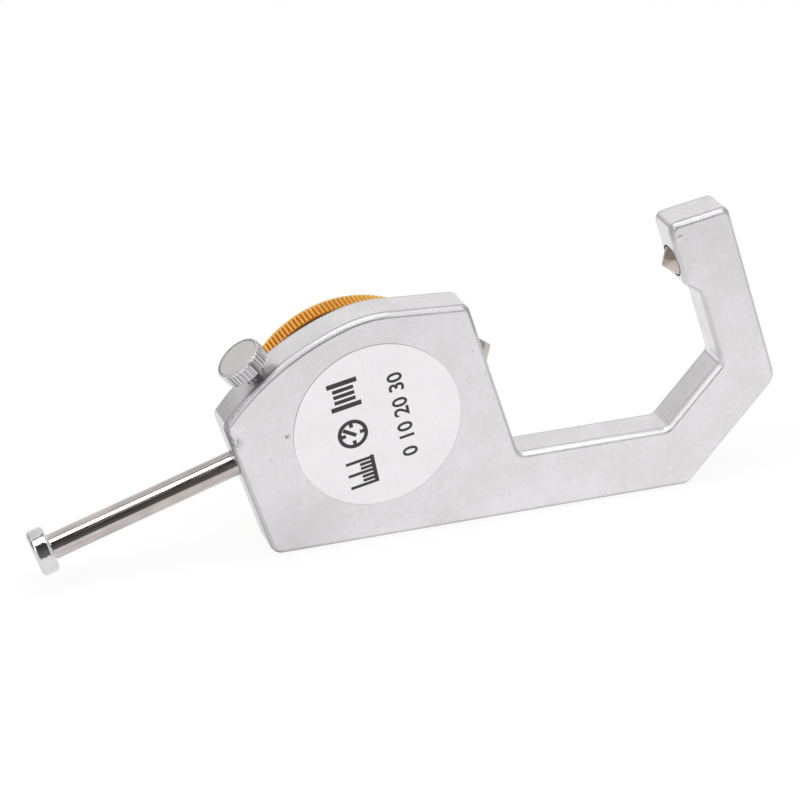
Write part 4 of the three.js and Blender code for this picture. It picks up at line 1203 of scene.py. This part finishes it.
# %% The ring and its ticks
scale_outer = half("scale_ring")
dial_back, dial_front = reach["scale_ring"]["depth"]
scale_width = 6.2
scale_inner = scale_outer - scale_width
ink_height = 0.015
tick_gap = 0.25
tick_outer = rehaut_inner - tick_gap
short_tick, half_tick, whole_tick = 1.5, 2.1, 2.9
thin, thick = 0.13, 0.24
tick_pitch = math.radians(3.6)

scale_disc = softened(ring("scale_disc", scale_inner, scale_outer, dial_back, dial_front), 0.03)
settle_on_dial(scale_disc, "bezel_set", dial_paint, "dial_white", "scale_ring")


def tick_set(offset, length, width, copies, outer):
    """Copies of one radial tick, the first one at an angle from the dial's top."""
    tick = bar(-outer, -width / 2, -outer + length, width / 2, dial_front, dial_front + ink_height)
    return spun_copies(moved(tick, turn_by(offset)), copies)


scale_marks = []
for tenth in range(10):
    length, width = {0: (whole_tick, thick), 5: (half_tick, thin)}.get(tenth, (short_tick, thin))
    scale_marks.append(tick_set(tenth * tick_pitch, length, width, 10, tick_outer))
print("ticks", sum(len(tick.data.polygons) for tick in scale_marks) // 6)

# %% The numbers round the ring
number_gap = 1.15
number_ring = tick_outer - whole_tick - number_gap
dial_number_size = 2.2
reads_from_front = Matrix(((0, -1, 0, 0), (-1, 0, 0, 0), (0, 0, -1, 0), (0, 0, 0, 1)))


def dial_number(body, size, turn, radius):
    """A number on the dial, by an angle clockwise from its top as seen from the front."""
    place = at(-radius * math.cos(turn), -radius * math.sin(turn), dial_front)
    return moved(number(body, size, ink_height * 2), place, reads_from_front)


for figure in range(10):
    scale_marks.append(dial_number(str(figure), dial_number_size, 2 * math.pi * figure / 10, number_ring))
settle_on_dial(joined("scale_print", scale_marks), "bezel_set", dial_ink, "hand_black")

# %% [markdown]
# ## The centre of the dial
# The middle of the dial stays still under the turning ring. It holds a small counter whose red hand makes
# one turn in 30 mm, with its numbers running the other way round, because its wheel meshes straight with
# the centre pinion. Two small screws hold the plate.

# %% The centre plate and the counter's scale
counter_rise = middle("small_pointer", "y") + dial_drop
small_radius = 3.6
small_number_size = 0.95
small_number_drop = 1.35
small_rim = 0.1
arbor_hole = 0.75
screw_hole = 0.46
screw_ring = middle("dial_screw_1")

centre_plate = disc("centre_plate", half("centre_dial"), dial_back, dial_front, 160)
for radius, x, y in ((arbor_hole, 0, 0), (arbor_hole, 0, counter_rise), (screw_hole, screw_ring, 0),
                     (screw_hole, -screw_ring, 0)):
    cut(centre_plate, hole(radius, dial_back - overrun, dial_front + overrun, x, y))
settle_on_dial(softened(centre_plate, 0.03), "frame", dial_paint, "dial_white", "centre_dial")

counter_rim = ring("rim", small_radius - small_rim, small_radius, dial_front, dial_front + ink_height, 96)
counter_marks = [tick_set(0, length=0.75, width=0.14, copies=6, outer=small_radius),
                 tick_set(math.radians(12), length=0.4, width=0.09, copies=30, outer=small_radius),
                 counter_rim]
for i, body in enumerate(("0", "10", "20")):
    turn = -2 * math.pi * i / 3
    counter_marks.append(dial_number(body, small_number_size, turn, small_radius - small_number_drop))
settle_on_dial(joined("counter_print", counter_marks), "frame", dial_ink, "hand_black", y=counter_rise)

# %% [markdown]
# ## Hands and small screws
# The hands are stamped from thin sheet: an outline, a little thickness and a softened edge, with a turned
# boss on the long one. The slotted screws are turned and then slit.

# %% The long hand, its boss and the red hand
hand_tip_width = 0.25
hand_tail_share = 0.65
hand_bore = 0.44
boss_radius = 1.1


def hand(name, length, tail, width, eye, bore_radius, node):
    """A hand that points to the dial's top, with a tail and a round eye, as deep as its CAD node."""
    back, front = reach[node]["depth"]
    side = [(-length, hand_tip_width / 2), (-length * 0.72, width * 0.3), (-eye * 0.8, width / 2),
            (eye * 0.8, width / 2), (tail, width * hand_tail_share)]
    blade = slab(name, [(x, -y) for x, y in side] + side[::-1], back, front)
    combined(blade, disc("eye", eye, back, front), "UNION")
    cut(blade, hole(bore_radius, back - overrun, front + overrun))
    return softened(blade, 0.03, angle=25)


long_hand = hand("long_hand", length=12.6, tail=4, width=1.1, eye=boss_radius, bore_radius=hand_bore,
                 node="main_pointer")
settle_on_dial(long_hand, "pointer_shaft", pointer_black, "hand_black", "main_pointer")
hub_back, hub_front = reach["pointer_hub"]["depth"]
boss_line = soft_profile([(hand_bore, hub_back), (boss_radius, hub_back), (boss_radius, hub_front),
                          (hand_bore, hub_front)], [0, 0, 0.08, 0])
hand_boss = polished(turned("hand_boss", boss_line, 96, loop=True), 40)
settle_on_dial(hand_boss, "pointer_shaft", brass, "brass", "pointer_hub")
red_hand = hand("red_hand", length=2.5, tail=0.9, width=0.6, eye=0.75, bore_radius=0.36,
                node="small_pointer")
settle_on_dial(red_hand, "counter", pointer_red, "hand_red", "small_pointer", y=counter_rise)


# %% The dial's screws and the guide key
def slotted(name, node, shank, head, shoulder, slot_width, slot_depth, slot_turn):
    """A turned screw with a slit across its head. Its ends are those of its CAD node."""
    back, front = reach[node]["depth"]
    points = [(0, back), (shank, back), (shank, shoulder), (head, shoulder), (head, front), (0, front)]
    body = turned(name, soft_profile(points, [0, 0, 0, 0, 0.1, 0]), 64)
    slit = bar(-overrun, -slot_width / 2, overrun, slot_width / 2, front - slot_depth, front + overrun)
    cut(body, moved(slit, turn_by(slot_turn)))
    return softened(body, 0.03, angle=40)


dial_screw_head = 0.25
for index, side in ((1, 1), (2, -1)):
    node = f"dial_screw_{index}"
    head_back = reach[node]["depth"][1] - dial_screw_head
    small_screw = slotted(f"plate_screw_{index}", node, shank=0.4, head=0.8, shoulder=head_back,
                          slot_width=0.25, slot_depth=0.13, slot_turn=0.6 * index)
    settle_on_dial(small_screw, "frame", plain_steel, "steel", node, x=side * screw_ring)

key_shoulder = casting_thickness / 2 + rod_radius + slide_gap
key_screw = slotted("key_screw", "guide_key", shank=0.5, head=key_radius, shoulder=key_shoulder,
                    slot_width=0.3, slot_depth=0.4, slot_turn=0.4)
settle(moved(key_screw, at(key_x, 0)), "frame", plain_steel, "steel", "guide_key")

# %% [markdown]
# ## The lock screw
# The knob has thirty-four coarse straight knurls, a flat satin face with a thin bright rim, and a threaded
# shank that presses a small pad on the rod. It is turned first, with its edges rounded and its thread as a
# run of fine grooves. One groove of the knurl is then drawn as a wedge, spun into its copies, and cut away.

# %% Measures of the knob
lock_foot = Vector((lock_meets_rod, 0, -casting_thickness / 2))
lock_way = Vector((-math.sin(lock_tilt), math.cos(lock_tilt), 0))
lock_points = [to_gauge @ vertex.co for vertex in frame["nodes"]["lock_screw"].data.vertices]
lock_places = [(point - lock_foot).dot(lock_way) for point in lock_points]
neck_end, knob_face = min(lock_places), max(lock_places)
knob_radius = 3.85
knob_thickness = 2.5
knob_back = knob_face - knob_thickness
knob_edge = 0.3
knurl_count = 34
knurl_depth = 0.18
knurl_half = 0.27
knurl_floor_half = 0.19
knurl_overrun = 0.05
neck_radius = 0.8
neck_length = 0.8
shank_start = neck_end + neck_length
face_sink = 0.07
rim_width = 0.1
rim_inner = knob_radius - knob_edge - rim_width
thread_pitch = 0.5
thread_depth = 0.2
thread_root = lock_shank - thread_depth

# %% The knob, the shank and the neck
knob_line = [(0, neck_end), (neck_radius, neck_end), (neck_radius, shank_start), (thread_root, shank_start)]
turns = int((knob_back - shank_start) / thread_pitch)
for i in range(turns):
    root = shank_start + i * thread_pitch
    knob_line += [(thread_root, root), (lock_shank, root + thread_pitch * 0.4),
                  (lock_shank, root + thread_pitch * 0.6)]
knob_line += [(thread_root, shank_start + turns * thread_pitch), (thread_root, knob_back)]
back_corner = (knob_radius, knob_back)
face_corner = (knob_radius, knob_face)
knob_line += rounded((lock_shank, knob_back), back_corner, face_corner, knob_edge, 4)
knob_line += rounded(back_corner, face_corner, (0, knob_face), knob_edge, 5)
knob_line += [(rim_inner, knob_face), (rim_inner - 0.05, knob_face - face_sink * 2),
              (rim_inner - 0.13, knob_face - face_sink), (0, knob_face - face_sink)]
knob = turned("knob", knob_line, 120)

top_half = knurl_half + (knurl_half - knurl_floor_half) * knurl_overrun / knurl_depth
wedge_top = knob_radius + knurl_overrun
wedge_floor = knob_radius - knurl_depth
wedge = slab("wedge", [(wedge_top, -top_half), (wedge_floor, -knurl_floor_half),
                       (wedge_floor, knurl_floor_half), (wedge_top, top_half)],
             knob_back - overrun, knob_face + overrun)
cut(knob, spun_copies(wedge, knurl_count))
moved(softened(knob, 0.02, angle=38, smooth=32), on_lock_axis, upright)
print("thread turns", turns)


# %% The knob's finish
def knob_finish():
    """Bright chrome whose flat face was left satin by the saw and the drum, with painted shade in the knurl
    grooves, in the groove round the face and on the shank.
    """
    metal = Finish("knob_chrome", Metallic=1.0, Roughness=0.1)
    way = (placed.to_3x3() @ lock_way).normalized()
    up = metal.along(way, placed @ lock_foot)
    away = metal.off_axis(way, placed @ lock_foot)
    top = knob_face - face_sink
    face = metal.band(up, top - 0.04, top - 0.01, top + 0.01, top + 0.04)
    shank = metal.step(up, knob_back + 0.02, knob_back - 0.02)
    below_rim = metal.step(up, top - knob_edge, top - knob_edge - 0.1)
    # Painted shade in the knurl grooves below the rim.
    groove = metal.step(away, knob_radius - 0.05, knob_radius - 0.18) * below_rim * (1 - shank)
    # A painted dark line in the small groove round the face.
    line = metal.band(away, rim_inner - 0.11, rim_inner - 0.07, rim_inner, rim_inner + 0.03)
    line = line * metal.step(up, top - 0.3, top - 0.2)
    grain = metal.noise(0.18)
    cloud = metal.noise(1.5)
    tone = grain * 0.5 + cloud * 0.5
    shiny = metal.tint(tone, rgb(212, 210, 212), rgb(226, 224, 227))
    colour = metal.mix(face, shiny, metal.tint(tone, rgb(213, 210, 209), rgb(225, 222, 221)))
    colour = metal.mix(groove * 0.6, colour, rgb(140, 137, 139))
    colour = metal.mix(line * 0.65, colour, rgb(92, 88, 92))
    # Painted shade on the threaded shank under the knob.
    metal.set("Base Color", metal.mix(shank * metal.step(grain, 0.35, 0.5) * 0.8, colour, rgb(104, 101, 99)))
    metal.set("Roughness", 0.07 + cloud * 0.05 + face * 0.26 + shank * 0.3)
    return metal.bump(cloud * 0.4 + grain * face * 0.6, 0.02)


settle(knob, "lock_screw", knob_finish(), "chrome", "lock_screw")

# %% [markdown]
# ## Finishes of the pieces inside
# The plates, pillars, wheels and springs of the movement stay as their CAD solids. They are brass and
# steel, and each gets the procedural metal that its real counterpart has.

# %% Finish of every node that is left
node_finishes = {
    "brass": brass, "steel": plain_steel, "chrome": nickel, "cast_metal": casting_finish,
    "dial_white": dial_paint, "rubber": rubber, "crystal": crystal_clear, "label": paper_white,
    "bezel_gold": golden_finish, "hand_black": pointer_black, "hand_red": pointer_red,
}
slot_of = {row["node"]: row["material_slot"] for row in frame["record"]["subparts"]}
shown = [name for name, node in frame["nodes"].items() if not node.hide_render]
for name in shown:
    give(frame["nodes"][name], node_finishes[slot_of[name]])
print("CAD nodes still shown", len(shown))

# %% [markdown]
# ## Floor, world and lamps
# Polished metal shows its surroundings, so the surroundings matter as much as the metal. A white floor and
# a white world fill the background. A broad softbox overhead gives the white line on the rod, and a dark
# card in front, seen by reflections alone, gives the dark band beside it, as the unlit side of a studio
# does. Reflections also find the floor darker well in front of the gauge, where the sheet of a real table
# top would end. Cards at the left, low and high, grey the slope under the knob and the left end.

# %% The floor
floor_size = 8
floor_drop = 0.0001
floor_bright_to = -110
floor_dark_from = -180


def floor_finish():
    ground = Finish("white_floor", Roughness=0.9)
    ground.set("Base Color", ground.mix(ground.noise(20, detail=2), rgb(244, 244, 245), rgb(248, 248, 249)))
    seen, gloss, through = (ground.node("ShaderNodeLightPath", output=f"Is {kind} Ray")
                            for kind in ("Camera", "Glossy", "Transmission"))
    far_front = ground.step(ground.along(depth_way, Vector()), floor_bright_to, floor_dark_from)
    glow = ground.mix(gloss * far_front, grey(1), grey(0.24))
    white = ground.node("ShaderNodeEmission", None, {"Color": glow, "Strength": 1.0})
    return ground.cover((seen + through) * 0.9 + gloss * 0.88, white)


deselect()
bpy.ops.mesh.primitive_plane_add(size=floor_size, location=(0, 0, -floor_drop))
floor = bpy.context.object
floor.name = "floor"
give(floor, floor_finish())

# %% The world
world = bpy.data.worlds.new("white_room")
bpy.context.scene.world = world
world.use_nodes = True
tree = world.node_tree
tree.nodes.clear()
path = tree.nodes.new("ShaderNodeLightPath")
seen = Socket(tree, path.outputs["Is Camera Ray"]) + Socket(tree, path.outputs["Is Transmission Ray"])
gloss = Socket(tree, path.outputs["Is Glossy Ray"])
diffuse_level = 0.66
gloss_level = 0.9
background = tree.nodes.new("ShaderNodeBackground")
background.inputs["Color"].default_value = grey(1)
plug(tree, background.inputs["Strength"],
     diffuse_level + seen * (1 - diffuse_level) + gloss * (gloss_level - diffuse_level))
world_output = tree.nodes.new("ShaderNodeOutputWorld")
tree.links.new(background.outputs[0], world_output.inputs["Surface"])


# %% The cards
def card(name, place, width, height, first, last, way=(1, 0, 0)):
    """A board facing the gauge that only reflections see. Its level changes along a way."""
    deselect()
    bpy.ops.mesh.primitive_plane_add(size=1)
    board = bpy.context.object
    board.name = name
    board.scale = (width, height, 1)
    board.rotation_mode = "QUATERNION"
    board.rotation_quaternion = (-Vector(place)).to_track_quat("Z", "Y")
    board.location = place
    bpy.ops.object.transform_apply(location=True, rotation=True, scale=True)
    dark = Finish(name + "_board", Roughness=1.0)
    places = [vertex.co.dot(Vector(way)) * 1000 for vertex in board.data.vertices]
    share = dark.step(dark.along(Vector(way), Vector()), min(places), max(places))
    level = dark.mix(share, grey(first), grey(last))
    glow = dark.node("ShaderNodeEmission", None, {"Color": level, "Strength": 1.0})
    plug(dark.tree, dark.tree.nodes["Material Output"].inputs["Surface"], glow)
    give(board, dark.material)
    board.visible_camera = False
    board.visible_diffuse = False
    board.visible_transmission = False
    board.visible_shadow = False


front_low, front_high = math.radians(-3), math.radians(66)
front_away = 0.95
front_middle = (front_low + front_high) / 2
front_height = 2 * front_away * math.tan((front_high - front_low) / 2)
front_place = (-0.06, -front_away * math.cos(front_middle), front_away * math.sin(front_middle))
card("front_card", front_place, width=0.8, height=front_height, first=0.17, last=0.03, way=(0, 0, 1))
card("low_card", (-0.86, 1.2, 0.08), width=1.2, height=0.42, first=0.28, last=0.36)
card("back_card", (-0.82, 1.16, 0.66), width=1.2, height=0.76, first=0.5, last=0.9)
card("strip_card", (-0.18, 0.3, 1.2), width=1.5, height=0.24, first=0.05, last=0.05)
card("left_card", (-1.2, 0.0, 0.46), width=1.0, height=0.8, first=0.12, last=0.12)


# %% The lamps
def softbox(name, place, target, width, depth, watts):
    deselect()
    bpy.ops.object.light_add(type="AREA", location=place)
    lamp = bpy.context.object
    lamp.name = name
    lamp.data.shape = "RECTANGLE"
    lamp.data.size = width
    lamp.data.size_y = depth
    lamp.data.energy = watts
    lamp.rotation_mode = "QUATERNION"
    lamp.rotation_quaternion = (Vector(target) - Vector(place)).to_track_quat("-Z", "Y")


softbox("top_softbox", (-0.16, -0.19, 1.2), (-0.16, -0.19, 0), width=1.3, depth=0.68, watts=7.5)
softbox("left_softbox", (-1.3, -0.5, 0.9), (0, 0, 0), width=0.9, depth=0.7, watts=4)
print("lamps and cards placed")
